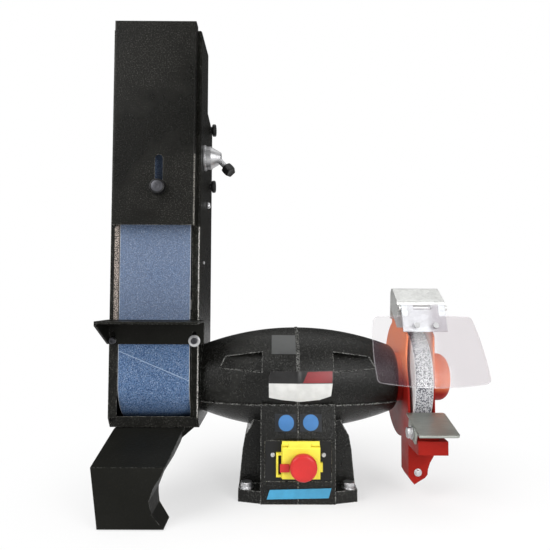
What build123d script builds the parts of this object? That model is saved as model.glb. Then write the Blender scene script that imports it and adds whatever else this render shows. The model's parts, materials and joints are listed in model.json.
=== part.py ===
from build123d import *
from math import asin, cos, pi, radians, sin, sqrt
import os

# Bench belt sander and grinder. Millimetres, +Z up, +X to the operator's right, -Y to the operator.
# The origin is on the bench under the middle of the pedestal.

os.makedirs("parts", exist_ok=True)

# Shared clearances
running_gap = 0.05
sliding_gap = 0.3

# Motor housing
shaft_height = 161.0
housing_half_length = 138.5
housing_mid_radius = 73.5
housing_end_radius = 48.5
housing_end_edge = 0.5
housing_right_round = 14.6
ledge_step = 2.0
ledge_drop = 31.0
bead_half_width = 1.8
bead_height = 1.0
ramp_inner_x = 50.0
ramp_outer_x = 110.0
ramp_depth = 8.0

# Pedestal
base_half_x = 82.0
base_inner_half_x = 51.0
base_half_y = 76.0
base_outer_half_y = 67.5
front_half_y = 78.0
foot_height = 16.5
wing_half_y = 44.0
neck_half_x = 60.0
neck_height = 112.0
front_bend = 88.0
front_lean = 8.5
front_top_rise = 1.0
passage_half = 28.0
pedestal_wall = 6.0
bottom_plate_thickness = 2.0
foot_edge_x = 11.0
foot_edge_y = 7.5
foot_hole_radius = 4.5
foot_bolt_radius = 4.0
foot_washer_radius = 10.4
foot_bolt_across = 15.0
tie_bolt_y = 30.0
tie_bolt_z = 80.0
tie_bolt_radius = 3.0
tie_seat_x = 66.0

# Motor inside
stator_radius = 62.0
stator_bore_radius = 36.0
stator_half_length = 40.0
winding_length = 20.0
air_gap = 0.5
shaft_radius = 10.0
rotor_shaft_radius = 12.5
bearing_radius = 23.5
bearing_width = 14.0
bearing_inner_x = 104.5
capacitor_radius = 17.0
capacitor_height = 60.0

# Belt drive
belt_width = 100.0
belt_length = 1220.0
belt_thickness = 1.2
belt_plate_room = 9.7
belt_side_room = 13.5
belt_top_room = 7.637
drum_radius = 60.0
drum_rim = 8.0
idler_radius = 30.0
idler_axle_radius = 8.0

# Belt arm
plate_thickness = 3.0
cover_sheet = 1.5
side_sheet = 2.0
arm_front = -60.0
arm_back = 72.0
arm_top_back = 12.0
arm_bottom = 96.0
shoulder_drop = 95.0
shoulder_slope = 10.0
flange_reach = 11.0
side_flange_reach = 12.0
lip_front = -50.0
lip_height = 15.0
spigot_radius = 34.0
clamp_ring_radius = 42.0
clamp_ring_thickness = 4.0
guide_bolt_zs = (460.0, 553.0)
guide_bolt_inset = 26.0
guide_cap_radius = 9.9
ear_zs = (180.0, 400.0)
ear_inset = 12.0
platen_low = 238.0
platen_high = 470.0
platen_lug_zs = (262.0, 400.0)

# Front cover of the arm
cover_front = -79.0
cover_left_inset = 6.0
cover_right_inset = 5.7
cover_top_rise = 5.0
cover_edge_round = 2.5
cover_low = 379.5
cover_stud_shift = 7.0
cover_stud_z = 431.5
cover_stud_radius = 5.2
cover_travel = 40.0
cover_knob_radius = 11.0

# Work rest at the belt
rest_left_reach = 1.0
rest_right_reach = 7.8
rest_top = 248.0
rest_depth = 34.0
rest_front = -128.0
rest_corner_cut = 7.0
rest_sheet = 3.0
rest_bolt_rise = 5.0
rest_bolt_left_inset = 7.5
rest_bolt_right_inset = 5.5
rest_drop = 10.0

# Belt tension
lever_y = -24.0
lever_z = 488.0
cam_offset = 6.0
cam_radius = 12.0
hub_radius = 19.0
hub_flange = 3.0
hub_step = 8.0
hub_cone = 14.0
lever_seat = 19.0
slider_half_width = 15.0
slider_thickness = 7.0

# Grinding wheel and guard
wheel_radius = 75.0
wheel_width = 25.0
wheel_flange_radius = 27.0
wheel_flange_width = 3.5
spindle_nut_width = 14.0
spindle_nut_across = 28.0
guard_clearance = 8.0
guard_wall = 3.0
guard_boss_reach = 15.5
guard_depth = 37.0
wheel_web_room = 7.5
guard_web_step_z = 100.0
guard_boss_radius = 36.0
guard_screw_circle = 28.0
guard_high_angle = 103.0
guard_low_angle = 225.0
guard_cover_thickness = 2.5
guard_cover_front = -57.0
cover_screw_circle = 82.0
dome_radius = 35.0
dome_reach = 36.0
spout_front = -62.0
spout_back = -22.0

# Spark bracket, eye shield and tool rest
bracket_left_reach = 11.0
bracket_right_reach = 20.0
bracket_sheet = 2.0
bracket_nose_y = -47.0
bracket_face_y = -45.0
bracket_slide = 4.0
bracket_back_rise = 40.0
bracket_rise = 46.0
bracket_nose_rise = 26.0
bracket_face_rise = 21.0
bracket_face_drop = 9.5
bracket_bend = 4.5
shield_pivot_y = -54.4
shield_pivot_z = 265.5
shield_pin_radius = 2.5
shield_tilt = 20.0
shield_standoff = 2.4
strap_length = 36.0
shield_length = 100.0
shield_left_reach = 66.0
shield_top_reach = 71.0
shield_bottom_reach = 87.0
shield_side_bow = 3.5
shield_thickness = 3.0
shield_bow_radius = 420.0
shield_off_wheel = 2.0
tool_rest_reach = 12.0
tool_rest_back_y = -67.2
tool_rest_back_z = 121.2
tool_rest_length = 64.0
tool_rest_tilt = 14.0
tool_rest_sheet = 3.0
rest_out = 10.0
support_reach = 2.0
support_front = -112.0
support_low = 76.0
support_high = 94.0
clamp_y = -95.0
clamp_z = 101.0
clamp_bolt_radius = 4.0
clamp_boss_radius = 8.5

# Switch
switch_half_x = 45.0
switch_low = 31.0
switch_high = 85.0
recess_depth = 4.0
switch_left = -23.0
switch_right = 29.0
lid_low = 38.0
lid_hinge_z = 84.0
lid_front = -92.0
switch_front = -84.0
lid_pin_y = -88.0
mushroom_x = 5.9
mushroom_z = 56.9
mushroom_radius = 18.0
button_travel = 3.0
plate_screw_x = 34.6
plate_screw_z = 66.5
plate_screw_radius = 2.8
latch_low = 48.5
latch_high = 58.8
loop_low = 38.0
loop_high = 70.0
loop_wall = 3.0
switch_body_back = -52.0

# Worked out from the sizes above
guard_web_left = housing_half_length + guard_boss_reach
guard_right = guard_web_left + guard_depth
wheel_centre_x = guard_web_left + wheel_web_room + wheel_width / 2
bracket_left = guard_web_left - bracket_left_reach
bracket_right = guard_right + bracket_right_reach
shield_centre_x = wheel_centre_x - shield_off_wheel
tool_rest_right = guard_right + tool_rest_reach
support_right = guard_right + support_reach
spigot_end = -(housing_half_length + plate_thickness + 2 * sliding_gap)
plate_outer = -(housing_half_length + sliding_gap)
plate_inner = plate_outer - plate_thickness
belt_right = plate_inner - belt_plate_room
belt_left = belt_right - belt_width
belt_centre_x = (belt_left + belt_right) / 2
arm_left = belt_left - belt_side_room
cover_left = arm_left + cover_left_inset
cover_right = plate_outer - cover_right_inset
cover_stud_x = belt_centre_x + cover_stud_shift
rest_left = arm_left - rest_left_reach
rest_right = plate_outer + rest_right_reach
rest_low = rest_top - rest_depth
rest_bolt_z = rest_low + rest_bolt_rise
rest_bolt_left = arm_left + rest_bolt_left_inset
rest_bolt_right = plate_outer - rest_bolt_right_inset
foot_hole_x = base_half_x - foot_edge_x
foot_hole_y = base_outer_half_y - foot_edge_y
belt_seat = sliding_gap
drum_pitch_radius = drum_radius + belt_seat + belt_thickness / 2
idler_pitch_radius = idler_radius + belt_seat + belt_thickness / 2
radius_step = drum_radius - idler_radius
idler_y = -radius_step


def straight_run(length):
    """Straight belt run between two rollers of the given pitch radii, found by repeated trial."""
    run = length / 2
    for _ in range(30):
        lean = asin(radius_step / sqrt(run ** 2 + radius_step ** 2))
        wraps = pi * (drum_pitch_radius + idler_pitch_radius) + 2 * lean * radius_step
        run = (length - wraps) / 2
    return run


idler_z = shaft_height + straight_run(belt_length)
arm_top = idler_z + idler_radius + belt_seat + belt_thickness + belt_top_room
shoulder_high = arm_top - shoulder_drop
shoulder_low = shoulder_high - shoulder_slope
cover_high = arm_top + cover_top_rise
wheel_left = wheel_centre_x - wheel_width / 2
wheel_right = wheel_centre_x + wheel_width / 2
guard_radius = wheel_radius + guard_clearance + guard_wall
shaft_right = wheel_right + wheel_flange_width + spindle_nut_width + 3
shaft_left = belt_left + 4


shaft_axis = Axis((0, 0, shaft_height), (1, 0, 0))


# Helpers that draw inside the builder block that calls them
def rod_x(x_from, x_to, radius, y=0.0, z=shaft_height, mode=Mode.ADD):
    """Round bar along X."""
    with Locations(Location(((x_from + x_to) / 2, y, z), (0, 90, 0))):
        Cylinder(radius, abs(x_to - x_from), mode=mode)


def rod_y(y_from, y_to, radius, x, z, mode=Mode.ADD):
    """Round bar along Y."""
    with Locations(Location((x, (y_from + y_to) / 2, z), (90, 0, 0))):
        Cylinder(radius, abs(y_to - y_from), mode=mode)


def rod_z(z_from, z_to, radius, x, y, mode=Mode.ADD):
    """Round bar along Z."""
    with Locations((x, y, (z_from + z_to) / 2)):
        Cylinder(radius, abs(z_to - z_from), mode=mode)


def slab(x_pair, y_pair, z_pair, mode=Mode.ADD):
    """Box between two limits along each axis."""
    middle = [(pair[0] + pair[1]) / 2 for pair in (x_pair, y_pair, z_pair)]
    size = [abs(pair[1] - pair[0]) for pair in (x_pair, y_pair, z_pair)]
    with Locations(tuple(middle)):
        Box(*size, mode=mode)


def plate_yz(points, x_from, x_to, mode=Mode.ADD):
    """Plate across X with an outline of (y, z) points."""
    with BuildSketch(Plane.YZ.offset(x_from)) as outline:
        with BuildLine():
            Polyline(*points, close=True)
        make_face()
    extrude(outline.sketch, amount=x_to - x_from, mode=mode)


def plate_xz(points, y_from, y_to, mode=Mode.ADD):
    """Plate across Y with an outline of (x, z) points."""
    with BuildSketch(Plane.XZ.offset(-y_from)) as outline:
        with BuildLine():
            Polyline(*points, close=True)
        make_face()
    extrude(outline.sketch, amount=y_from - y_to, mode=mode)


def hex_x(x_from, x_to, across, y=0.0, z=shaft_height):
    """Hexagon bar along X."""
    with BuildSketch(Plane(origin=(x_from, y, z), x_dir=(0, 1, 0), z_dir=(1, 0, 0))) as hexagon:
        RegularPolygon(across / 2, 6, major_radius=False)
    extrude(hexagon.sketch, amount=x_to - x_from)


def hex_z(z_from, z_to, across, x, y):
    """Hexagon bar along Z."""
    with BuildSketch(Plane(origin=(x, y, z_from))) as hexagon:
        RegularPolygon(across / 2, 6, major_radius=False)
    extrude(hexagon.sketch, amount=z_to - z_from)


arc_end_x = housing_half_length - housing_end_edge
barrel_rise = housing_mid_radius - housing_end_radius
barrel_arc = (arc_end_x ** 2 + barrel_rise ** 2) / (2 * barrel_rise)
end_lean = asin(arc_end_x / barrel_arc)
# The right end rounds over from the barrel's own slope to a flat face
housing_right_end = arc_end_x + housing_right_round * (1 - sin(end_lean))
right_face_radius = housing_end_radius - housing_right_round * cos(end_lean)


def barrel_radius(x):
    """Outside radius of the motor housing at a place along the shaft."""
    return housing_mid_radius - barrel_arc + sqrt(barrel_arc ** 2 - x ** 2)


def barrel(step=0.0, mode=Mode.ADD):
    """Barrel of the motor housing, turned about the shaft."""
    rim = shaft_height + housing_end_radius + step
    face = shaft_height + right_face_radius + step
    middle_lean = (end_lean + pi / 2) / 2
    round_x = arc_end_x - housing_right_round * sin(end_lean)
    right_end = (arc_end_x, rim)
    with BuildSketch(Plane.XZ) as section:
        with BuildLine():
            ThreePointArc(
                right_end,
                (
                    round_x + housing_right_round * sin(middle_lean),
                    face + housing_right_round * cos(middle_lean),
                ),
                (housing_right_end, face),
            )
            Polyline(
                (housing_right_end, face),
                (housing_right_end, shaft_height),
                (-housing_half_length, shaft_height),
                (-housing_half_length, rim),
                (-arc_end_x, rim),
            )
            ThreePointArc(
                (-arc_end_x, rim),
                (0, shaft_height + housing_mid_radius + step),
                right_end,
            )
        make_face()
    revolve(section.sketch, axis=shaft_axis, mode=mode)


def ring_x(x_from, x_to, outer, inner, mode=Mode.ADD):
    """Ring around the shaft, written as one turned section."""
    with BuildSketch(Plane.XZ) as section:
        with BuildLine():
            Polyline(
                (x_from, shaft_height + inner),
                (x_to, shaft_height + inner),
                (x_to, shaft_height + outer),
                (x_from, shaft_height + outer),
                close=True,
            )
        make_face()
    revolve(section.sketch, axis=shaft_axis, mode=mode)


# Ramp-shaped recess in the front of the barrel, one each side
with BuildPart() as ramp_tool:
    ramp_outline = [
        (ramp_inner_x, shaft_height + 42),
        (ramp_outer_x - 8, shaft_height + 35),
        (ramp_outer_x, shaft_height + 19),
        (ramp_inner_x, shaft_height + 15),
    ]
    plate_xz(ramp_outline, -housing_mid_radius - 10, -20)
    ramp_floor_low = barrel_radius(ramp_inner_x) - ramp_depth
    ramp_floor_high = barrel_radius(ramp_outer_x) - 0.2
    with BuildSketch(Plane.XZ):
        with BuildLine():
            Polyline(
                (ramp_inner_x - 5, shaft_height),
                (ramp_inner_x - 5, shaft_height + ramp_floor_low),
                (ramp_inner_x, shaft_height + ramp_floor_low),
                (ramp_outer_x, shaft_height + ramp_floor_high),
                (ramp_outer_x + 5, shaft_height + ramp_floor_high),
                (ramp_outer_x + 5, shaft_height),
                close=True,
            )
        make_face()
    revolve(axis=shaft_axis, mode=Mode.SUBTRACT)

# Lower belly of the barrel, a step larger than the top, which makes the ledge line
with BuildPart() as belly:
    barrel(ledge_step)
    slab(
        (-200, 200),
        (-200, 200),
        (shaft_height - ledge_drop, shaft_height + 200),
        mode=Mode.SUBTRACT,
    )

# Whole housing, before it is parted down the middle
with BuildPart() as housing:
    barrel()
    add(belly.part)
    ring_x(-bead_half_width, bead_half_width, housing_mid_radius + bead_height, 60)
    # Pedestal: centre box, flared wings and foot plate
    front_box = [
        (front_half_y, 0),
        (front_half_y, front_bend),
        (front_half_y - front_lean, shaft_height - ledge_drop + front_top_rise),
    ]
    plate_yz(
        front_box + [(-y, z) for y, z in reversed(front_box)],
        -base_inner_half_x,
        base_inner_half_x,
    )
    wing = [
        (neck_half_x, neck_height),
        (66, 96),
        (74, 84),
        (77.5, 64),
        (base_half_x, foot_height),
        (base_half_x, 0),
    ]
    wing_outline = wing + [(-x, z) for x, z in reversed(wing)]
    plate_xz(wing_outline, -wing_half_y, wing_half_y)
    foot = [
        (base_inner_half_x, -base_half_y),
        (base_half_x, -base_outer_half_y),
        (base_half_x, base_outer_half_y),
        (base_inner_half_x, base_half_y),
    ]
    with BuildSketch():
        with BuildLine():
            Polyline(*foot, *[(-x, y) for x, y in reversed(foot)], close=True)
        make_face()
    extrude(amount=foot_height)
    # Ramps, then the hollow inside
    add(ramp_tool.part, mode=Mode.SUBTRACT)
    add(ramp_tool.part.mirror(Plane.YZ), mode=Mode.SUBTRACT)
    with BuildSketch(Plane.XZ):
        with BuildLine():
            inner = [
                (bearing_inner_x, 0),
                (bearing_inner_x, 38),
                (stator_half_length + 5, stator_radius - 4),
                (stator_half_length + 5, stator_radius),
            ]
            half = [(x, shaft_height + r) for x, r in inner]
            Polyline(*half, *[(-x, z) for x, z in reversed(half)], close=True)
        make_face()
    revolve(axis=shaft_axis, mode=Mode.SUBTRACT)
    for side in (-1, 1):
        bearing_outer_x = side * (bearing_inner_x + bearing_width)
        rod_x(side * bearing_inner_x, bearing_outer_x, bearing_radius, mode=Mode.SUBTRACT)
        rod_x(bearing_outer_x, side * (housing_right_end + 1), 14, mode=Mode.SUBTRACT)
        slab(
            (side * (base_inner_half_x - 1), side * (base_half_x - 12)),
            (-wing_half_y + pedestal_wall, wing_half_y - pedestal_wall),
            (-1, 62),
            mode=Mode.SUBTRACT,
        )
        # Seat for the tie bolt heads and nuts
        for y in (-tie_bolt_y, tie_bolt_y):
            rod_x(side * tie_seat_x, side * (tie_seat_x + 20), 9, y, tie_bolt_z, Mode.SUBTRACT)
        for y in (-foot_hole_y, foot_hole_y):
            rod_z(-1, foot_height + 1, foot_hole_radius, side * foot_hole_x, y, Mode.SUBTRACT)
    for y in (-tie_bolt_y, tie_bolt_y):
        rod_x(-base_half_x, base_half_x, tie_bolt_radius + 0.3, y, tie_bolt_z, Mode.SUBTRACT)
    cavity_half_x = base_inner_half_x - pedestal_wall
    cavity_half_y = front_half_y - recess_depth - pedestal_wall
    slab(
        (-cavity_half_x, cavity_half_x),
        (-cavity_half_y, cavity_half_y),
        (-1, neck_height - pedestal_wall - 6),
        mode=Mode.SUBTRACT,
    )
    slab(
        (-passage_half, passage_half),
        (-passage_half, passage_half),
        (neck_height - pedestal_wall - 7, shaft_height - stator_bore_radius),
        mode=Mode.SUBTRACT,
    )
    # Seat for the bottom plate
    slab(
        (-cavity_half_x - 2, cavity_half_x + 2),
        (-cavity_half_y - 2, cavity_half_y + 2),
        (-1, bottom_plate_thickness),
        mode=Mode.SUBTRACT,
    )
    # Corner posts that take the bottom plate's screws
    post_x = cavity_half_x - 5
    post_y = cavity_half_y - 5
    for x in (-post_x, post_x):
        for y in (-post_y, post_y):
            slab((x - 6, x + 6), (y - 6, y + 6), (bottom_plate_thickness, 30))
            rod_z(bottom_plate_thickness, 20, 2, x, y, Mode.SUBTRACT)
    # Recess and window for the switch, and the gland hole at the back
    slab(
        (-switch_half_x, switch_half_x),
        (-front_half_y - 1, -front_half_y + recess_depth),
        (switch_low, switch_high),
        mode=Mode.SUBTRACT,
    )
    slab((-20, 20), (-front_half_y, -front_half_y + 20), (40, 74), mode=Mode.SUBTRACT)
    rod_y(front_half_y - 20, front_half_y + 1, 8, 0, 40, Mode.SUBTRACT)
    # Screw holes behind the switch plate
    for x in (-plate_screw_x, plate_screw_x):
        rod_y(-front_half_y, -front_half_y + 12, 2, x, plate_screw_z, Mode.SUBTRACT)
    # Screw holes for the wheel guard
    for turn in range(3):
        angle = radians(90 + 120 * turn)
        rod_x(
            housing_right_end - 12,
            housing_right_end + 1,
            3,
            guard_screw_circle * cos(angle),
            shaft_height + guard_screw_circle * sin(angle),
            Mode.SUBTRACT,
        )

with BuildPart() as housing_right:
    add(housing.part)
    split(bisect_by=Plane.YZ, keep=Keep.TOP)

# The left half also carries the spigot that the belt arm turns on
with BuildPart() as housing_left:
    add(housing.part)
    split(bisect_by=Plane.YZ, keep=Keep.BOTTOM)
    ring_x(spigot_end, -housing_half_length + 1, spigot_radius, 14)
    for turn in range(3):
        angle = radians(90 + 120 * turn)
        rod_x(
            spigot_end - 1,
            spigot_end + 14,
            2.5,
            25 * cos(angle),
            shaft_height + 25 * sin(angle),
            Mode.SUBTRACT,
        )

with BuildPart() as tie_bolts:
    for y in (-tie_bolt_y, tie_bolt_y):
        hex_x(-tie_seat_x - 5, -tie_seat_x, 10, y, tie_bolt_z)
        rod_x(-tie_seat_x, tie_seat_x + 8, tie_bolt_radius, y, tie_bolt_z)

with BuildPart() as tie_nuts:
    for y in (-tie_bolt_y, tie_bolt_y):
        hex_x(tie_seat_x, tie_seat_x + 5, 10, y, tie_bolt_z)
        rod_x(tie_seat_x - 1, tie_seat_x + 6, tie_bolt_radius, y, tie_bolt_z, Mode.SUBTRACT)

with BuildPart() as bottom_plate:
    slab(
        (-cavity_half_x - 1.7, cavity_half_x + 1.7),
        (-cavity_half_y - 1.7, cavity_half_y + 1.7),
        (0, bottom_plate_thickness),
    )
    for x in (-post_x, post_x):
        for y in (-post_y, post_y):
            rod_z(-1, bottom_plate_thickness + 1, 4, x, y, Mode.SUBTRACT)

with BuildPart() as bottom_plate_screws:
    for x in (-post_x, post_x):
        for y in (-post_y, post_y):
            rod_z(0.2, bottom_plate_thickness, 4, x, y)
            rod_z(bottom_plate_thickness, 16, 2, x, y)

# The front feet hold bolts, as photographed; the back feet's holes are left open
with BuildPart() as foot_bolts:
    for x in (-foot_hole_x, foot_hole_x):
        rod_z(1, foot_height, foot_bolt_radius, x, -foot_hole_y)
        rod_z(foot_height, foot_height + 1.6, foot_washer_radius, x, -foot_hole_y)
        hex_z(foot_height + 1.6, foot_height + 8.5, foot_bolt_across, x, -foot_hole_y)

with BuildPart() as stator_core:
    ring_x(-stator_half_length, stator_half_length, stator_radius, stator_bore_radius)

with BuildPart() as stator_windings:
    for side in (-1, 1):
        ring_x(
            side * stator_half_length,
            side * (stator_half_length + winding_length),
            stator_radius - 12,
            stator_bore_radius + 3,
        )

with BuildPart() as motor_bearings:
    for side in (-1, 1):
        ring_x(
            side * bearing_inner_x,
            side * (bearing_inner_x + bearing_width),
            bearing_radius,
            shaft_radius + running_gap,
        )

with BuildPart() as capacitor:
    rod_z(
        bottom_plate_thickness,
        bottom_plate_thickness + capacitor_height,
        capacitor_radius,
        18,
        26,
    )

with BuildPart() as cable_gland:
    rod_y(front_half_y - 18, front_half_y, 8, 0, 40)
    rod_y(front_half_y, front_half_y + 5, 12, 0, 40)
    rod_y(front_half_y + 5, front_half_y + 16, 9.5, 0, 40)
    rod_y(front_half_y - 19, front_half_y + 17, 4.5, 0, 40, Mode.SUBTRACT)

# Spindle: one shaft carries the drum, the rotor and the grinding wheel
with BuildPart() as shaft:
    rod_x(shaft_left, shaft_right, shaft_radius)
    rod_x(-bearing_inner_x + 0.3, bearing_inner_x - 0.3, rotor_shaft_radius)
    rod_x(belt_right + 2, belt_right + 5, shaft_radius + 3)
    rod_x(wheel_left - wheel_flange_width - 4, wheel_left - wheel_flange_width, shaft_radius + 3)

with BuildPart() as rotor_core:
    ring_x(
        -stator_half_length,
        stator_half_length,
        stator_bore_radius - air_gap,
        rotor_shaft_radius,
    )

with BuildPart() as drive_drum:
    ring_x(belt_left, belt_right, drum_radius, drum_radius - drum_rim)
    ring_x(belt_left + 14, belt_right + 2, 18, shaft_radius)
    ring_x(belt_centre_x - 4, belt_centre_x + 4, drum_radius - drum_rim, 18)

with BuildPart() as spindle_nuts:
    hex_x(shaft_left + 1, belt_left + 14, spindle_nut_across)
    rod_x(shaft_left - 1, belt_left + 15, shaft_radius, mode=Mode.SUBTRACT)
    nut_left = wheel_right + wheel_flange_width
    nut_right = nut_left + spindle_nut_width
    hex_x(nut_left, nut_right, spindle_nut_across)
    rod_x(nut_left - 1, nut_right + 1, shaft_radius, mode=Mode.SUBTRACT)

with BuildPart() as grinding_wheel:
    ring_x(wheel_left, wheel_right, wheel_radius, shaft_radius)
    chamfer(grinding_wheel.edges().filter_by(GeomType.CIRCLE).group_by(SortBy.RADIUS)[-1], 1.2)

with BuildPart() as wheel_flanges:
    ring_x(wheel_left - wheel_flange_width, wheel_left, wheel_flange_radius, shaft_radius)
    ring_x(wheel_right, wheel_right + wheel_flange_width, wheel_flange_radius, shaft_radius)

# Places of the dust chute, which the arm's window follows
chute_sheet = 1.5
chute_mouth_z = 1.5
chute_top_y = (lip_front + 4, lip_front + 40)
chute_front = [(-58.0, arm_bottom - 1), (-150.0, arm_bottom - 24)]
chute_mouth_y = (-158.0, -122.0)
chute_back = [(-106.0, arm_bottom - 69), (-80.0, arm_bottom - 48), (-50.0, arm_bottom - 22)]
chute_top_x = (arm_left + 8, plate_inner - 18.2)
chute_mouth_x = (arm_left + 20, plate_inner - 23.2)
chute_left_side = [(chute_top_x[0], arm_bottom - 24)]
# Right side as steps in from the main plate and down from the pan
chute_right_steps = [(23.2, 21), (29.2, 35), (38.2, 49), (42.2, 63), (38.2, 78)]
chute_right_side = [(plate_inner - inward, arm_bottom - down) for inward, down in chute_right_steps]

# Belt arm: main plate with its front flange, side cover, and one bent sheet for bottom, back and top
arm_outline = [
    (arm_front, arm_bottom + 15),
    (arm_front, arm_top),
    (arm_top_back, arm_top),
    (arm_top_back, shoulder_high),
    (arm_back, shoulder_low),
    (arm_back, shaft_height - 30),
    (42, arm_bottom),
    (lip_front, arm_bottom),
]

with BuildPart() as arm_main_plate:
    plate_yz(arm_outline, plate_inner, plate_outer)
    slab(
        (plate_outer - flange_reach, plate_inner),
        (arm_front, arm_front + plate_thickness),
        (arm_bottom + 15, arm_top),
    )
    # The bend at the front and the top edge are rounded
    outer_edges = arm_main_plate.faces().sort_by(Axis.X)[-1].edges()
    bend_edge = outer_edges.filter_by(Axis.Z).sort_by(Axis.Y)[0]
    top_edge = outer_edges.filter_by(Axis.Y).sort_by(Axis.Z)[-1]
    fillet([bend_edge, top_edge], plate_thickness - 0.3)
    rod_x(plate_inner - 1, plate_outer + 1, spigot_radius + running_gap, mode=Mode.SUBTRACT)
    rod_x(plate_inner - 1, plate_outer + 1, 8, lever_y, lever_z, Mode.SUBTRACT)
    for z in guide_bolt_zs:
        rod_x(plate_inner - 1, plate_outer + 1, 4, arm_back - guide_bolt_inset, z, Mode.SUBTRACT)
    rod_y(
        arm_front - 1,
        arm_front + 5,
        3,
        rest_bolt_right,
        rest_bolt_z,
        Mode.SUBTRACT,
    )

with BuildPart() as arm_side_cover:
    plate_yz(arm_outline, arm_left, arm_left + side_sheet)
    slab(
        (arm_left + side_sheet, arm_left + side_flange_reach),
        (arm_front, arm_front + side_sheet),
        (arm_bottom + 15, arm_top),
    )
    rod_y(arm_front - 1, arm_front + 5, 3, rest_bolt_left, rest_bolt_z, Mode.SUBTRACT)
    for z in ear_zs:
        rod_x(arm_left - 1, arm_left + 4, 3, arm_back - ear_inset, z, Mode.SUBTRACT)

with BuildPart() as arm_back_cover:
    sheet_outer = [
        (lip_front, arm_bottom + lip_height),
        (lip_front, arm_bottom),
        (42, arm_bottom),
        (arm_back, shaft_height - 30),
        (arm_back, shoulder_low),
        (arm_top_back, shoulder_high),
        (arm_top_back, arm_top),
        (arm_front + plate_thickness + 1, arm_top),
    ]
    with BuildSketch(Plane.YZ.offset(arm_left + side_sheet)):
        with BuildLine():
            Polyline(*sheet_outer)
            offset(amount=cover_sheet, side=Side.LEFT, kind=Kind.INTERSECTION)
        make_face()
    extrude(amount=plate_inner - arm_left - side_sheet)
    # Dust falls through this window into the chute
    slab(
        (chute_top_x[0] + 7, chute_top_x[1] - 16),
        (lip_front + 4, chute_top_y[1] + 2),
        (arm_bottom - 2, arm_bottom + 4),
        mode=Mode.SUBTRACT,
    )
    # Ears that take the side cover's screws
    for z in ear_zs:
        slab(
            (arm_left + side_sheet, arm_left + side_sheet + 10),
            (arm_back - 18, arm_back - cover_sheet),
            (z - 8, z + 8),
        )
        rod_x(
            arm_left + side_sheet - 1,
            arm_left + side_sheet + 9,
            2.5,
            arm_back - ear_inset,
            z,
            Mode.SUBTRACT,
        )

with BuildPart() as side_cover_screws:
    for z in ear_zs:
        rod_x(arm_left - 4, arm_left, 5, arm_back - ear_inset, z)
        rod_x(arm_left, arm_left + side_sheet + 8, 2.5, arm_back - ear_inset, z)

# Two knob-headed bolts on the motor side of the arm
with BuildPart() as guide_bolts:
    guide_y = arm_back - guide_bolt_inset
    cap_start = plate_outer + 3.5
    cap_end = plate_outer + 9.4
    for z in guide_bolt_zs:
        rod_x(cap_start, cap_end, guide_cap_radius, guide_y, z)
    cap_rims = guide_bolts.edges().filter_by(GeomType.CIRCLE)
    fillet(cap_rims, 2)
    for z in guide_bolt_zs:
        rod_x(plate_outer, cap_start, 6, guide_y, z)
        rod_x(plate_inner - 4, plate_outer, 4, guide_y, z)
        rod_x(plate_inner - 6, plate_inner, 7, guide_y, z)

with BuildPart() as arm_clamp_ring:
    ring_x(spigot_end - clamp_ring_thickness, spigot_end, clamp_ring_radius, 14)
    for turn in range(3):
        angle = radians(90 + 120 * turn)
        rod_x(
            spigot_end - clamp_ring_thickness - 1,
            spigot_end + 1,
            4.5,
            25 * cos(angle),
            shaft_height + 25 * sin(angle),
            Mode.SUBTRACT,
        )

with BuildPart() as clamp_ring_screws:
    for turn in range(3):
        angle = radians(90 + 120 * turn)
        y = 25 * cos(angle)
        z = shaft_height + 25 * sin(angle)
        rod_x(spigot_end - clamp_ring_thickness, spigot_end, 4.5, y, z)
        rod_x(spigot_end, spigot_end + 10, 2.5, y, z)


def belt_loop(extra):
    """Hull of the two rollers, grown by the given amount."""
    with Locations((0, shaft_height)):
        Circle(drum_radius + extra)
    with Locations((idler_y, idler_z)):
        Circle(idler_radius + extra)
    make_hull()


with BuildPart() as belt_hole:
    with BuildSketch(Plane.YZ.offset(belt_left - 1)):
        belt_loop(belt_seat)
    extrude(amount=belt_width + 2)

with BuildPart() as sanding_belt:
    with BuildSketch(Plane.YZ.offset(belt_left)):
        belt_loop(belt_seat + belt_thickness)
    extrude(amount=belt_width)
    add(belt_hole.part, mode=Mode.SUBTRACT)

platen_front = -drum_radius
with BuildPart() as platen:
    slab((belt_left + 1, belt_right - 1), (platen_front, platen_front + 4), (platen_low, platen_high))
    for z in platen_lug_zs:
        slab((belt_right - 16, plate_inner), (platen_front + 4, platen_front + 24), (z, z + 14))

# Idler: axle on a slider between two rails, lifted by the cam of the tension lever
cam_lean = radians(45)
cam_top = lever_z + cam_offset * cos(cam_lean) + cam_radius
slider_low = cam_top + 2 * sliding_gap
slider_outer = plate_inner - sliding_gap
slider_inner = slider_outer - slider_thickness
rail_width = 8.0

with BuildPart() as slider_rails:
    for y_from, y_to in (
        (idler_y - slider_half_width - sliding_gap - rail_width, idler_y - slider_half_width - sliding_gap),
        (idler_y + slider_half_width + sliding_gap, idler_y + slider_half_width + sliding_gap + rail_width),
    ):
        slab((slider_inner, plate_inner), (y_from, y_to), (slider_low + 24, idler_z + 22))

with BuildPart() as tension_slider:
    slab(
        (slider_inner, slider_outer),
        (idler_y - slider_half_width, idler_y + slider_half_width),
        (slider_low, idler_z + 14),
    )
    slab((slider_inner, slider_outer), (idler_y, lever_y + 18), (slider_low, slider_low + 8))
    rod_x(slider_inner - 1, slider_outer + 1, idler_axle_radius, idler_y, idler_z, Mode.SUBTRACT)

with BuildPart() as idler_axle:
    rod_x(belt_left - 3, slider_outer, idler_axle_radius, idler_y, idler_z)
    rod_x(belt_left - 6, belt_left - 3, 12, idler_y, idler_z)

with BuildPart() as idler_roller:
    rod_x(belt_left, belt_right, idler_radius, idler_y, idler_z)
    rod_x(belt_left - 1, belt_right + 1, idler_axle_radius + running_gap, idler_y, idler_z, Mode.SUBTRACT)

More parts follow.
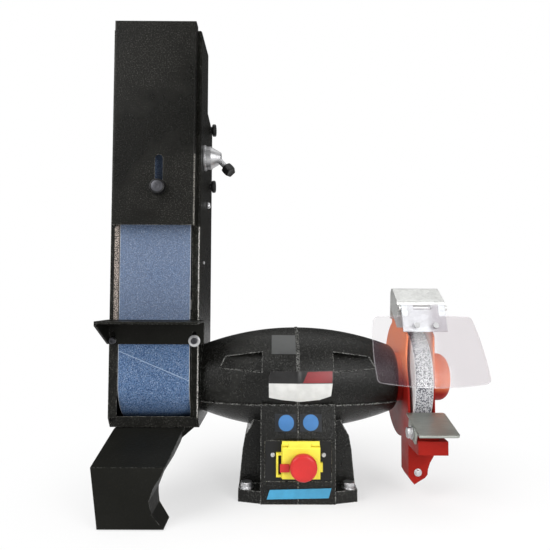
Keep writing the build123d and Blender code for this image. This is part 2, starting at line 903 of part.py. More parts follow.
with BuildPart() as tension_lever:
    # Cam inside the arm, journal through the main plate, turned hub outside
    rod_x(
        slider_inner,
        slider_outer,
        cam_radius,
        lever_y - cam_offset * sin(cam_lean),
        lever_z + cam_offset * cos(cam_lean),
    )
    rod_x(slider_outer, plate_outer + sliding_gap, 8 - running_gap, lever_y, lever_z)
    hub_start = plate_outer + sliding_gap
    rod_x(hub_start, hub_start + hub_flange, hub_radius, lever_y, lever_z)
    hub_shoulder = hub_start + hub_flange + hub_step
    rod_x(hub_start + hub_flange, hub_shoulder, hub_radius - 2, lever_y, lever_z)
    with Locations(Location((hub_shoulder + hub_cone / 2, lever_y, lever_z), (0, 90, 0))):
        Cone(hub_radius - 3, 8, hub_cone)
    # Short threaded arm, out and down towards the operator
    arm_plane = Plane(
        origin=(hub_start + lever_seat, lever_y, lever_z),
        z_dir=(0.62, -0.35, -0.7),
    )
    with BuildSketch(arm_plane):
        Circle(4)
    extrude(amount=30)

with BuildPart() as lever_knob:
    knob_plane = Plane(
        origin=arm_plane.origin + arm_plane.z_dir * 22,
        x_dir=arm_plane.x_dir,
        z_dir=arm_plane.z_dir,
    )
    with BuildSketch(knob_plane):
        Circle(8)
        with PolarLocations(7, 5):
            Circle(4.5)
    extrude(amount=14)
    with BuildSketch(knob_plane.offset(-1)):
        Circle(4)
    extrude(amount=9, mode=Mode.SUBTRACT)

# Sliding front cover, the bridge that holds its stud, and its clamp knob
belt_face = -(drum_radius + belt_seat + belt_thickness)
bridge_back = belt_face - 1.5
bridge_front = bridge_back - 4
bridge_left = cover_left + cover_sheet + 0.7
bridge_right = cover_right - cover_sheet - 0.7
with BuildPart() as cover_bridge:
    slab((bridge_left, bridge_right), (bridge_front, bridge_back), (cover_stud_z - 8, cover_stud_z + 8))
    for x_pair in ((bridge_left, belt_left - 1), (belt_right + 1, bridge_right)):
        slab(x_pair, (bridge_back, arm_front), (cover_stud_z - 8, cover_stud_z + 8))
    rod_y(bridge_front, cover_front - 8, cover_stud_radius, cover_stud_x, cover_stud_z)

with BuildPart() as front_cover:
    slab((cover_left, cover_right), (cover_front, arm_front - sliding_gap), (cover_low, cover_high))
    cover_face = front_cover.faces().sort_by(Axis.Y)[0]
    low_edge = cover_face.edges().sort_by(Axis.Z)[0]
    fillet([edge for edge in cover_face.edges() if edge != low_edge], cover_edge_round)
    slab(
        (cover_left + cover_sheet, cover_right - cover_sheet),
        (cover_front + cover_sheet, arm_front),
        (cover_low - 1, cover_high - cover_sheet),
        mode=Mode.SUBTRACT,
    )
    # Relief in the top, which passes the belt when the cover is slid down
    slab(
        (belt_left - 2, belt_right + 2),
        (belt_face - 1, arm_front),
        (cover_high - 2 * cover_sheet, cover_high + 1),
        mode=Mode.SUBTRACT,
    )
    slot_half = cover_stud_radius + sliding_gap
    slab(
        (cover_stud_x - slot_half, cover_stud_x + slot_half),
        (cover_front - 1, cover_front + 3),
        (cover_stud_z, cover_stud_z + cover_travel + 1),
        mode=Mode.SUBTRACT,
    )
    for z in (cover_stud_z, cover_stud_z + cover_travel + 1):
        rod_y(cover_front - 1, cover_front + 3, slot_half, cover_stud_x, z, Mode.SUBTRACT)

with BuildPart() as cover_knob:
    rod_y(cover_front - sliding_gap, cover_front - 12, cover_knob_radius, cover_stud_x, cover_stud_z)
    fillet(cover_knob.edges().sort_by(Axis.Y)[0], 2)
    rod_y(
        cover_front,
        cover_front - 8 - sliding_gap,
        cover_stud_radius + running_gap,
        cover_stud_x,
        cover_stud_z,
        Mode.SUBTRACT,
    )

# Work rest at the belt, held by two bolts in open slots
rest_flange_back = belt_face - 2
rest_flange_front = rest_flange_back - rest_sheet
rest_bolt_xs = (rest_bolt_left, rest_bolt_right)
with BuildPart() as work_rest:
    slab((rest_left, rest_right), (rest_flange_front, rest_flange_back), (rest_low, rest_top))
    with BuildSketch(Plane.XY.offset(rest_top - rest_sheet)):
        with BuildLine():
            Polyline(
                (rest_left, rest_flange_back),
                (rest_left, rest_front + rest_corner_cut),
                (rest_left + rest_corner_cut, rest_front),
                (rest_right, rest_front),
                (rest_right, rest_flange_back),
                close=True,
            )
        make_face()
    extrude(amount=rest_sheet)
    gusset = [
        (rest_flange_front, rest_low),
        (rest_flange_front, rest_top - rest_sheet),
        (rest_front + rest_corner_cut, rest_top - rest_sheet),
        (rest_front + rest_corner_cut, rest_top - 6),
    ]
    plate_yz(gusset, rest_left, rest_left + rest_sheet)
    for x in rest_bolt_xs:
        rod_y(
            rest_flange_front - 1,
            rest_flange_back + 1,
            3 + sliding_gap,
            x,
            rest_bolt_z + rest_drop,
            Mode.SUBTRACT,
        )
        slab(
            (x - 3 - sliding_gap, x + 3 + sliding_gap),
            (rest_flange_front - 1, rest_flange_back + 1),
            (rest_low - 1, rest_bolt_z + rest_drop),
            mode=Mode.SUBTRACT,
        )

with BuildPart() as work_rest_bolts:
    for x in rest_bolt_xs:
        washer_back = rest_flange_front - sliding_gap
        washer_radius = 3.0 if x < belt_left else 6.8
        rod_y(washer_back, washer_back - 1.5, washer_radius + 1.5, x, rest_bolt_z)
        rod_y(washer_back - 1.5, washer_back - 6, 4.4, x, rest_bolt_z)
        rod_y(washer_back, arm_front + 3, 3, x, rest_bolt_z)
        rod_y(rest_flange_back + sliding_gap, arm_front, 4.5, x, rest_bolt_z)

# Dust chute: an elbow of sheet steel under the drum, open at both ends
def chute_body(inset):
    """Solid elbow, drawn in by the given amount and then run past both ends."""
    top = arm_bottom + inset
    low = chute_mouth_z - inset
    side_view = [(chute_top_y[1] - inset, top), (chute_top_y[0] + inset, top)]
    side_view += [(y + inset, z - inset) for y, z in chute_front]
    side_view += [(chute_mouth_y[0] + inset, low), (chute_mouth_y[1] - inset, low)]
    side_view += [(y - inset, z + inset) for y, z in chute_back]
    plate_yz(side_view, chute_top_x[0] - 20, chute_top_x[1] + 20)
    front_view = [(chute_top_x[0] + inset, top), (chute_top_x[1] - inset, top)]
    front_view += [(x - inset, z) for x, z in chute_right_side]
    front_view += [(chute_mouth_x[1] - inset, low), (chute_mouth_x[0] + inset, low)]
    front_view += [(x + inset, z) for x, z in chute_left_side]
    with BuildSketch(Plane.XZ) as front:
        with BuildLine():
            Polyline(*front_view, close=True)
        make_face()
    extrude(front.sketch, amount=200, both=True, mode=Mode.INTERSECT)


with BuildPart() as chute_hollow:
    chute_body(chute_sheet)

with BuildPart() as dust_chute:
    chute_body(0)
    add(chute_hollow.part, mode=Mode.SUBTRACT)
    # Flange that hangs the chute from the pan
    plate_xz(
        [
            (chute_top_x[0] + 24, arm_bottom),
            (plate_inner - 3, arm_bottom),
            (chute_top_x[1] - 8, arm_bottom - 20),
            (chute_top_x[0] + 24, arm_bottom - 14),
        ],
        lip_front + 8,
        lip_front + 6,
    )

# Wheel guard: mounting boss, web, band round the wheel, spark pocket and tool rest support
cover_screw_angles = (75.0, 0.0, -75.0)
bracket_bolt_xs = (wheel_centre_x - 9, wheel_centre_x + 9)
bracket_bolt_y = 10.0
guard_inner = guard_radius - guard_wall
spout_screw = (guard_web_left + 13, 38.0)
spout_outline = [
    (guard_web_left, 110),
    (guard_web_left, 33),
    (guard_web_left + 3.5, 26.5),
    (guard_web_left + 8, 21.4),
    (guard_web_left + 14.4, 25.5),
    (guard_web_left + 22.8, 30.5),
    (guard_web_left + 26.5, 35),
    (guard_web_left + 27, 42),
    (guard_web_left + 30, 51),
    (guard_web_left + 39.5, 67.5),
    (guard_right, 74),
    (guard_right, 110),
]
spout_hollow = [
    (guard_web_left + guard_wall, 112),
    (guard_web_left + guard_wall, 34.5),
    (guard_web_left + 5.8, 29),
    (guard_web_left + 8.8, 25.4),
    (guard_web_left + 13, 28.4),
    (guard_web_left + 20.8, 33),
    (guard_web_left + 23.4, 36),
    (guard_web_left + 24, 42.6),
    (guard_web_left + 27.2, 52),
    (guard_web_left + 35.8, 67.6),
    (guard_right - guard_wall, 72.5),
    (guard_right - guard_wall, 112),
]


def on_circle(radius, angle):
    """Place (y, z) on a circle round the shaft."""
    return radius * cos(radians(angle)), shaft_height + radius * sin(radians(angle))


with BuildPart() as guard_mouth:
    # The open front of the band, as seen from the side
    mouth = [
        (0, shaft_height),
        on_circle(3 * guard_radius, guard_high_angle),
        on_circle(3 * guard_radius, guard_low_angle),
    ]
    plate_yz(mouth, guard_web_left + guard_wall, guard_right + 20)
    # The web's hollowed front edge stops short of the wheel's front
    web_front = [
        (-2 * guard_radius, guard_web_step_z),
        (-76, guard_web_step_z),
        (-74, guard_web_step_z + 7),
        (-63.5, guard_web_step_z + 12),
        (-61, shaft_height - 11),
        (-50, shaft_height + 17),
        (-48.5, shaft_height + 31),
        (-50, shaft_height + 45),
        (-57, shaft_height + 70),
        (-57, shaft_height + 2 * guard_radius),
        (-2 * guard_radius, shaft_height + 2 * guard_radius),
    ]
    plate_yz(web_front, guard_web_left - 1, guard_web_left + guard_wall + 1)

with BuildPart() as wheel_guard:
    ring_x(housing_right_end, guard_web_left, guard_boss_radius, 14)
    ring_x(guard_web_left, guard_web_left + guard_wall, guard_radius, 14)
    ring_x(guard_web_left + guard_wall, guard_right, guard_radius, guard_inner)
    add(guard_mouth.part, mode=Mode.SUBTRACT)
    # Spark pocket under the band, and the arm that carries the tool rest
    plate_xz(spout_outline, spout_front, spout_back)
    slab((guard_web_left, support_right), (support_front, spout_front + 4), (support_low, support_high))
    rod_x(guard_web_left, guard_web_left + 30, clamp_boss_radius, clamp_y, clamp_z)
    slab(
        (guard_web_left, guard_web_left + 30),
        (clamp_y - clamp_boss_radius, clamp_y + clamp_boss_radius),
        (support_high, clamp_z),
    )
    # Flat seat for the spark bracket
    slab(
        (guard_web_left, guard_right),
        (-14, 32),
        (shaft_height + guard_radius - 6, shaft_height + guard_radius),
    )
    rod_x(guard_web_left + guard_wall, guard_right + 1, guard_inner, mode=Mode.SUBTRACT)
    plate_xz(spout_hollow, spout_front + guard_wall, spout_back - guard_wall, mode=Mode.SUBTRACT)
    for x in bracket_bolt_xs:
        rod_z(
            shaft_height + guard_inner - 4,
            shaft_height + guard_radius + 2,
            3,
            x,
            bracket_bolt_y,
            Mode.SUBTRACT,
        )
    # Bosses inside the band for the cover's screws
    for angle in cover_screw_angles:
        rod_x(guard_right - 12, guard_right, 3.8, *on_circle(cover_screw_circle, angle))
        rod_x(guard_right - 8, guard_right + 1, 1.6, *on_circle(cover_screw_circle, angle), Mode.SUBTRACT)
    # Screw holes to the housing, sunk for the heads
    for turn in range(3):
        place = on_circle(guard_screw_circle, 90 + 120 * turn)
        rod_x(housing_right_end - 1, guard_web_left + 1, 3, *place, Mode.SUBTRACT)
        rod_x(guard_web_left, guard_web_left + guard_wall + 1, 5.5, *place, Mode.SUBTRACT)
    rod_x(guard_web_left - 1, guard_web_left + 30, clamp_bolt_radius, clamp_y, clamp_z, Mode.SUBTRACT)
    rod_y(spout_front - 1, spout_front + guard_wall + 1, 2, *spout_screw, Mode.SUBTRACT)

with BuildPart() as guard_screws:
    for turn in range(3):
        place = on_circle(guard_screw_circle, 90 + 120 * turn)
        rod_x(housing_right_end - 11, guard_web_left, 3, *place)
        rod_x(guard_web_left, guard_web_left + guard_wall - 0.2, 5.5, *place)
    cover_outer = guard_right + guard_cover_thickness
    for angle in cover_screw_angles:
        place = on_circle(cover_screw_circle, angle)
        rod_x(guard_right - 8, cover_outer, 1.6, *place)
        rod_x(cover_outer, cover_outer + 2.5, 3.6, *place)
    rod_y(spout_front - 3, spout_front, 4, *spout_screw)
    rod_y(spout_front, spout_front + guard_wall, 2, *spout_screw)

with BuildPart() as guard_cover:
    ring_x(guard_right, cover_outer, guard_radius, 1)
    slab(
        (guard_right - 1, cover_outer + 1),
        (-2 * guard_radius, guard_cover_front),
        (0, shaft_height + 2 * guard_radius),
        mode=Mode.SUBTRACT,
    )
    rod_x(guard_right, guard_right + dome_reach, dome_radius)
    fillet(guard_cover.edges().filter_by(GeomType.CIRCLE).sort_by(Axis.X)[-1], 14)
    rod_x(guard_right - 1, guard_right + dome_reach - 14, dome_radius - 3, mode=Mode.SUBTRACT)
    for angle in cover_screw_angles:
        rod_x(guard_right - 1, cover_outer + 1, 1.6, *on_circle(cover_screw_circle, angle), Mode.SUBTRACT)

# Spark bracket: a foot on the guard, a rise, and a face that comes down in front of the wheel
bracket_seat = shaft_height + guard_radius
bracket_path = [
    (30, bracket_seat + sliding_gap),
    (-4, bracket_seat + sliding_gap),
    (-8, bracket_seat + bracket_back_rise),
    (-15, bracket_seat + bracket_rise),
    (bracket_nose_y, bracket_seat + bracket_nose_rise),
    (bracket_face_y, bracket_seat + bracket_face_rise),
    (bracket_face_y, bracket_seat - bracket_face_drop),
]
with BuildPart() as spark_bracket:
    with BuildSketch(Plane.YZ.offset(bracket_left)):
        with BuildLine():
            FilletPolyline(*bracket_path, radius=bracket_bend)
            offset(amount=bracket_sheet, side=Side.RIGHT, kind=Kind.INTERSECTION)
        make_face()
    extrude(amount=bracket_right - bracket_left)
    # Ears in front for the shield's hinge pin
    for x in (bracket_left, bracket_right - 3):
        slab(
            (x, x + 3),
            (shield_pivot_y, bracket_face_y - 1),
            (shield_pivot_z - 4, shield_pivot_z + 4),
        )
        rod_x(x, x + 3, 4, shield_pivot_y, shield_pivot_z)
        rod_x(x - 1, x + 4, shield_pin_radius, shield_pivot_y, shield_pivot_z, Mode.SUBTRACT)
    # Cheek that closes the left side; its outline runs inside the bent sheet
    cheek = [
        (-5, bracket_seat + bracket_back_rise / 2),
        (-7.4, bracket_seat + bracket_back_rise + 0.2),
        (-11, bracket_seat + bracket_rise - 2.4),
        (-15, bracket_seat + bracket_rise - 0.4),
        (-17.8, bracket_seat + bracket_rise - 0.8),
        (bracket_nose_y + 2.5, bracket_seat + bracket_nose_rise + 2.6),
        (bracket_nose_y + 0.4, bracket_seat + bracket_nose_rise - 0.4),
        (bracket_face_y - 1, bracket_seat + bracket_face_rise),
        (bracket_face_y - 1, bracket_seat - bracket_face_drop),
    ]
    plate_yz(cheek, bracket_left, bracket_left + bracket_sheet)
    # The foot is no wider than the guard
    for x_pair in ((bracket_left - 1, guard_web_left), (guard_right, bracket_right + 1)):
        slab(x_pair, (-3, 31), (bracket_seat - 1, bracket_seat + 6), mode=Mode.SUBTRACT)
    # Slots for the two fixing bolts
    for x in bracket_bolt_xs:
        slab(
            (x - 3.3, x + 3.3),
            (bracket_bolt_y - bracket_slide - 4, bracket_bolt_y + 4),
            (bracket_seat - 1, bracket_seat + 6),
            mode=Mode.SUBTRACT,
        )

with BuildPart() as bracket_bolts:
    head_low = bracket_seat + bracket_sheet + 2 * sliding_gap
    for x in bracket_bolt_xs:
        rod_z(head_low, head_low + 4.5, 6, x, bracket_bolt_y)
        rod_z(bracket_seat - guard_wall - 3, head_low, 3, x, bracket_bolt_y)

with BuildPart() as shield_pin:
    rod_x(bracket_left, bracket_right, shield_pin_radius, shield_pivot_y, shield_pivot_z)

# Strap that wraps the pin and the clear shield screwed to it
tilt = radians(shield_tilt)
down = Vector(0, -sin(tilt), -cos(tilt))
outward = Vector(0, -cos(tilt), sin(tilt))
pivot = Vector(shield_centre_x, shield_pivot_y, shield_pivot_z)
strap_left = bracket_left + 3 + sliding_gap
strap_right = bracket_right - 3 - sliding_gap
strap_middle = (strap_left + strap_right) / 2 - shield_centre_x
strap_barrel = 5.0
sheet_plane = Plane(origin=pivot + outward * strap_barrel, x_dir=(1, 0, 0), z_dir=outward)
shield_screw_v = 7 - strap_length
shield_screw_places = [(strap_middle - 13, shield_screw_v), (strap_middle + 13, shield_screw_v)]
slot_middle = strap_middle - 1.5
slot_half_x = 12.5
with BuildPart() as shield_strap:
    rod_x(strap_left, strap_right, strap_barrel, shield_pivot_y, shield_pivot_z)
    with BuildSketch(sheet_plane.offset(-2)):
        with Locations((strap_middle, -strap_length / 2)):
            Rectangle(strap_right - strap_left, strap_length)
    extrude(amount=2)
    # The barrel is open in the middle, so the pin shows
    rod_x(
        shield_centre_x + slot_middle - slot_half_x,
        shield_centre_x + slot_middle + slot_half_x,
        strap_barrel + 1,
        shield_pivot_y,
        shield_pivot_z,
        Mode.SUBTRACT,
    )
    rod_x(
        strap_left - 1,
        strap_right + 1,
        shield_pin_radius + running_gap,
        shield_pivot_y,
        shield_pivot_z,
        Mode.SUBTRACT,
    )
    with BuildSketch(sheet_plane.offset(-4)):
        with Locations(*shield_screw_places):
            Circle(2)
    extrude(amount=6, mode=Mode.SUBTRACT)

shield_top = -14.5
shield_tab_top = 2.0
shield_tab_half = 21.5
shield_corner_drop = 8.0
with BuildPart() as eye_shield:
    corner = shield_top - shield_length + shield_corner_drop
    left_low = (-shield_left_reach, corner)
    right_low = (shield_bottom_reach, corner)
    with BuildSketch(sheet_plane.offset(-20)) as shield_outline:
        with BuildLine():
            left_high = (-shield_left_reach, shield_top)
            right_high = (shield_top_reach, shield_top)
            half_down = (corner + shield_top) / 2
            right_half = (shield_top_reach + shield_bottom_reach) / 2
            ThreePointArc(left_low, (-shield_left_reach - shield_side_bow, half_down), left_high)
            Line(left_high, right_high)
            ThreePointArc(right_high, (right_half + shield_side_bow, half_down), right_low)
            ThreePointArc(right_low, (4, shield_top - shield_length), left_low)
        make_face()
        fillet(shield_outline.vertices(), 7)
        # Tab that reaches up in front of the hinge, with a slot
        with Locations((slot_middle, (shield_top + shield_tab_top) / 2 - 4)):
            Rectangle(2 * shield_tab_half, shield_tab_top - shield_top + 8)
        with Locations((slot_middle, shield_tab_top - 3.5)):
            Rectangle(2 * slot_half_x, 3.4, mode=Mode.SUBTRACT)
    extrude(amount=40)
    # Keep only a bowed sheet, furthest out along the middle
    bow_centre = sheet_plane.origin - outward * (shield_bow_radius - shield_thickness - shield_standoff)
    bow_plane = Plane(origin=bow_centre + down * 140, x_dir=(1, 0, 0), z_dir=-down)
    with BuildSketch(bow_plane):
        Circle(shield_bow_radius)
        Circle(shield_bow_radius - shield_thickness, mode=Mode.SUBTRACT)
    extrude(amount=200, mode=Mode.INTERSECT)
    with BuildSketch(sheet_plane.offset(-20)):
        with Locations(*shield_screw_places):
            Circle(2)
    extrude(amount=40, mode=Mode.SUBTRACT)

with BuildPart() as shield_screws:
    with BuildSketch(sheet_plane.offset(-4)):
        with Locations(*shield_screw_places):
            Circle(2)
    extrude(amount=4 + shield_standoff + shield_thickness + 0.2)
    with BuildSketch(sheet_plane.offset(shield_standoff + shield_thickness)):
        with Locations(*shield_screw_places):
            Circle(4)
    extrude(amount=2.2)

# Tool rest with a slotted side flange, clamped by one bolt
rest_tilt = radians(tool_rest_tilt)
rest_forward = Vector(0, -cos(rest_tilt), -sin(rest_tilt))
rest_up = Vector(0, -sin(rest_tilt), cos(rest_tilt))
flange_right = guard_web_left - sliding_gap
flange_left = flange_right - tool_rest_sheet
rest_back_edge = Vector(flange_left, tool_rest_back_y, tool_rest_back_z)
rest_plane = Plane(origin=rest_back_edge, x_dir=(1, 0, 0), z_dir=rest_up)
to_clamp = Vector(flange_left, clamp_y, clamp_z) - rest_back_edge
clamp_u = to_clamp.dot(rest_forward)
clamp_v = to_clamp.dot(rest_up)
flange_plane = Plane(
    origin=(flange_right, tool_rest_back_y, tool_rest_back_z),
    x_dir=rest_forward,
    z_dir=(-1, 0, 0),
)
rest_width = tool_rest_right - flange_left
with BuildPart() as tool_rest:
    with BuildSketch(rest_plane.offset(-tool_rest_sheet)) as rest_top_sheet:
        with Locations((rest_width / 2, -tool_rest_length / 2)):
            Rectangle(rest_width, tool_rest_length)
        fillet(rest_top_sheet.vertices().sort_by(Axis.X)[-2:], 4)
    extrude(rest_top_sheet.sketch, amount=tool_rest_sheet)
    with BuildSketch(flange_plane):
        with BuildLine():
            Polyline(
                (clamp_u - 20, -tool_rest_sheet / 2),
                (clamp_u + 14, -tool_rest_sheet / 2),
                (clamp_u + 14, clamp_v - 9),
                (clamp_u - 20, clamp_v - 9),
                close=True,
            )
        make_face()
        with Locations((clamp_u - rest_out / 2, clamp_v)):
            SlotCenterToCenter(rest_out, 2 * (clamp_bolt_radius + sliding_gap), mode=Mode.SUBTRACT)
    extrude(amount=tool_rest_sheet)

washer_right = flange_left - sliding_gap
with BuildPart() as rest_clamp_washer:
    rod_x(washer_right - 1.5, washer_right, 9, clamp_y, clamp_z)
    washer_bore = clamp_bolt_radius + running_gap
    rod_x(washer_right - 2, washer_right + 1, washer_bore, clamp_y, clamp_z, Mode.SUBTRACT)

with BuildPart() as tool_rest_bolt:
    hex_x(washer_right - 1.5 - sliding_gap - 5, washer_right - 1.5 - sliding_gap, 13, clamp_y, clamp_z)
    rod_x(washer_right - 1.5 - sliding_gap, guard_web_left + 28, clamp_bolt_radius, clamp_y, clamp_z)

# Switch: plate in the recess, yellow base with its body, lid with a mushroom button
plate_front = -front_half_y + 0.5
plate_back = -front_half_y + recess_depth
window = ((-19, 19), (41, 73))
with BuildPart() as switch_plate:
    slab(
        (-switch_half_x + sliding_gap, switch_half_x - sliding_gap),
        (plate_front, plate_back),
        (switch_low + sliding_gap, switch_high - sliding_gap),
    )
    slab(window[0], (plate_front - 1, plate_back + 1), window[1], mode=Mode.SUBTRACT)
    for x in (-plate_screw_x, plate_screw_x):
        rod_y(plate_front - 1, plate_back + 1, 2, x, plate_screw_z, Mode.SUBTRACT)

with BuildPart() as switch_plate_screws:
    for x in (-plate_screw_x, plate_screw_x):
        rod_y(plate_front, plate_front - 2.0, plate_screw_radius, x, plate_screw_z)
        rod_y(plate_front, plate_back + 7, 2, x, plate_screw_z)

button_front = switch_front + 1
button_back = plate_back
pocket_back = button_back + button_travel + 1
buttons = {"start": (-12.0, 1.0), "stop": (3.0, 16.0)}
button_z = (46.0, 68.0)
with BuildPart() as switch_base:
    slab((switch_left, switch_right), (switch_front, plate_front), (lid_low - 1, lid_hinge_z - 3))
    slab(window[0], (plate_front, switch_body_back), window[1])
    # Locking loop on the left and the catch on the right
    slab(
        (switch_left - 4 - loop_wall, switch_left),
        (switch_front + 1, plate_front),
        (loop_low, loop_high),
    )
    slab(
        (switch_left - 4, switch_left),
        (switch_front - 1, plate_front),
        (loop_low + loop_wall, loop_high - loop_wall),
        mode=Mode.SUBTRACT,
    )
    slab((switch_right, switch_right + 4), (switch_front + 1, plate_front), (45, 57))
    for x_from, x_to in ((switch_left + 1, -14), (17, switch_right - 1)):
        slab((x_from, x_to), (lid_pin_y, plate_front), (lid_hinge_z - 3.5, switch_high - sliding_gap))
        rod_x(x_from, x_to, 3.5, lid_pin_y, lid_hinge_z)
        rod_x(x_from - 1, x_to + 1, 1.5, lid_pin_y, lid_hinge_z, Mode.SUBTRACT)
    for x_from, x_to in buttons.values():
        slab(
            (x_from - sliding_gap, x_to + sliding_gap),
            (switch_front - 1, pocket_back),
            (button_z[0] - sliding_gap, button_z[1] + sliding_gap),
            mode=Mode.SUBTRACT,
        )

with BuildPart() as start_button:
    slab(buttons["start"], (button_front, button_back), button_z)

with BuildPart() as stop_button:
    slab(buttons["stop"], (button_front, button_back), button_z)

with BuildPart() as lid_hinge_pin:
    rod_x(switch_left + 1, switch_right - 1, 1.5, lid_pin_y, lid_hinge_z)

lid_back = switch_front - sliding_gap
lid_wall = 2.0
latch_middle = (latch_low + latch_high) / 2
latch_stem_x = (switch_left + 6.5, switch_left + 10.5)
latch_stem_z = (latch_middle - 2, latch_middle + 2)
with BuildPart() as switch_lid:
    slab((switch_left + 1, switch_right), (lid_front, lid_back), (lid_low, lid_hinge_z - 4))
    fillet(switch_lid.faces().sort_by(Axis.Y)[0].edges(), lid_wall - 0.3)
    slab(
        (switch_left + 1 + lid_wall, switch_right - lid_wall),
        (lid_front + lid_wall, lid_back + 1),
        (lid_low + lid_wall, lid_hinge_z - 4 - lid_wall),
        mode=Mode.SUBTRACT,
    )
    slab((-13.7, 16.7), (lid_pin_y - 3.5, lid_pin_y + 2), (lid_hinge_z - 5, lid_hinge_z))
    rod_x(-13.7, 16.7, 3.5, lid_pin_y, lid_hinge_z)
    rod_x(-15, 18, 1.5 + running_gap, lid_pin_y, lid_hinge_z, Mode.SUBTRACT)
    # Collar and hole for the mushroom button, slot for the latch
    rod_y(lid_front, lid_front - 2.5, 12, mushroom_x, mushroom_z)
    rod_y(lid_front - 4, lid_back, 7 + sliding_gap, mushroom_x, mushroom_z, Mode.SUBTRACT)
    slab(
        (latch_stem_x[0] - button_travel - 0.5, latch_stem_x[1] + 0.5),
        (lid_front - 1, lid_front + lid_wall + 1),
        (latch_stem_z[0] - sliding_gap, latch_stem_z[1] + sliding_gap),
        mode=Mode.SUBTRACT,
    )

with BuildPart() as mushroom_button:
    cap_back = lid_front - 2.5 - button_travel - 1
    rod_y(cap_back, cap_back - 10, mushroom_radius, mushroom_x, mushroom_z)
    fillet(mushroom_button.edges().filter_by(GeomType.CIRCLE).sort_by(Axis.Y)[0], 4)
    rod_y(cap_back, lid_back - button_travel, 7, mushroom_x, mushroom_z)

with BuildPart() as lid_latch:
    slab(
        (switch_left - 1.9, switch_left + 10.6),
        (lid_front - 3.3, lid_front - sliding_gap),
        (latch_low, latch_high),
    )
    slab(latch_stem_x, (lid_front - 1, lid_front + lid_wall), latch_stem_z)

pieces = {
    "housing_left": housing_left,
    "housing_right": housing_right,
    "tie_bolts": tie_bolts,
    "tie_nuts": tie_nuts,
    "bottom_plate": bottom_plate,
    "bottom_plate_screws": bottom_plate_screws,
    "foot_bolts": foot_bolts,
    "stator_core": stator_core,
    "stator_windings": stator_windings,
    "motor_bearings": motor_bearings,
    "capacitor": capacitor,
    "cable_gland": cable_gland,
    "shaft": shaft,
    "rotor_core": rotor_core,
    "drive_drum": drive_drum,
    "spindle_nuts": spindle_nuts,
    "grinding_wheel": grinding_wheel,
    "wheel_flanges": wheel_flanges,
    "arm_main_plate": arm_main_plate,
    "arm_side_cover": arm_side_cover,
    "arm_back_cover": arm_back_cover,
    "side_cover_screws": side_cover_screws,
    "guide_bolts": guide_bolts,
    "arm_clamp_ring": arm_clamp_ring,
    "clamp_ring_screws": clamp_ring_screws,
    "sanding_belt": sanding_belt,
    "platen": platen,
    "slider_rails": slider_rails,
    "tension_slider": tension_slider,
    "idler_axle": idler_axle,
    "idler_roller": idler_roller,
    "tension_lever": tension_lever,
    "lever_knob": lever_knob,
    "cover_bridge": cover_bridge,
    "front_cover": front_cover,
    "cover_knob": cover_knob,
    "work_rest": work_rest,
    "work_rest_bolts": work_rest_bolts,
    "dust_chute": dust_chute,
    "wheel_guard": wheel_guard,
    "guard_screws": guard_screws,
    "guard_cover": guard_cover,
    "spark_bracket": spark_bracket,
    "bracket_bolts": bracket_bolts,
    "shield_pin": shield_pin,
    "shield_strap": shield_strap,
    "eye_shield": eye_shield,
    "shield_screws": shield_screws,
    "tool_rest": tool_rest,
    "rest_clamp_washer": rest_clamp_washer,
    "tool_rest_bolt": tool_rest_bolt,
    "switch_plate": switch_plate,
    "switch_plate_screws": switch_plate_screws,
    "switch_base": switch_base,
    "start_button": start_button,
    "stop_button": stop_button,
    "lid_hinge_pin": lid_hinge_pin,
    "switch_lid": switch_lid,
    "mushroom_button": mushroom_button,
    "lid_latch": lid_latch,
}

for node_name, piece in pieces.items():
    piece.part.label = node_name
    export_step(piece.part, f"parts/{node_name}.step")
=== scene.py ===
# %% [markdown]
# Bench belt sander and grinder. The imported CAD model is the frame: every node is already in its
# place, in metres, so this file only adds finishes, small fittings, a studio and a camera.

# %% Load the frame
import json
from math import atan2, cos, pi, radians, sin

import bpy
from mathutils import Matrix, Vector


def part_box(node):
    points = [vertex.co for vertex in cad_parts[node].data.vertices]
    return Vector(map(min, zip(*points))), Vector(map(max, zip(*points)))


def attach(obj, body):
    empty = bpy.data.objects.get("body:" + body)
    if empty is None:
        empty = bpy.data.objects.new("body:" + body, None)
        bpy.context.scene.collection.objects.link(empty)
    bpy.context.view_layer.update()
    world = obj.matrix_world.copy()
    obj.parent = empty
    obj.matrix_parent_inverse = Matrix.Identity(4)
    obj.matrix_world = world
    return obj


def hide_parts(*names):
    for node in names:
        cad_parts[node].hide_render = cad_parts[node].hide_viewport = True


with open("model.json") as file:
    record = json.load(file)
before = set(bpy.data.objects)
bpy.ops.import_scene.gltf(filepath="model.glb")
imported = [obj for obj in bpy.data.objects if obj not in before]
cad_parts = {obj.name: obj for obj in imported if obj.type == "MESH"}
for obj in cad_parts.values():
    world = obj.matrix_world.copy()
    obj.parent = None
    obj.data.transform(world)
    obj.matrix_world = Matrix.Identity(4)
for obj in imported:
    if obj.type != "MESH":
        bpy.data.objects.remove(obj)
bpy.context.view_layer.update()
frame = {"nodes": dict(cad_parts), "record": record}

nodes = frame["nodes"]
scene = bpy.context.scene
scene.view_settings.view_transform = "Standard"

# %% [markdown]
# The camera stands where the picture was taken: a little left of the pedestal, 79 cm in front of the
# shaft and 28 cm above the bench, looking slightly upwards. A camera could be aimed with a Track To
# constraint, but writing its three axes keeps the small roll of the photograph.

# %% Camera
camera_place = Vector((-0.03525, -0.78725, 0.27876))
camera_yaw = radians(0.227)
camera_pitch = radians(2.581)
camera_roll = radians(0.228)
level_ahead = Vector((sin(camera_yaw), cos(camera_yaw), 0))
forward = cos(camera_pitch) * level_ahead + sin(camera_pitch) * Vector((0, 0, 1))
level_right = Vector((cos(camera_yaw), -sin(camera_yaw), 0))
level_up = level_right.cross(forward)
right = cos(camera_roll) * level_right + sin(camera_roll) * level_up
up = cos(camera_roll) * level_up - sin(camera_roll) * level_right

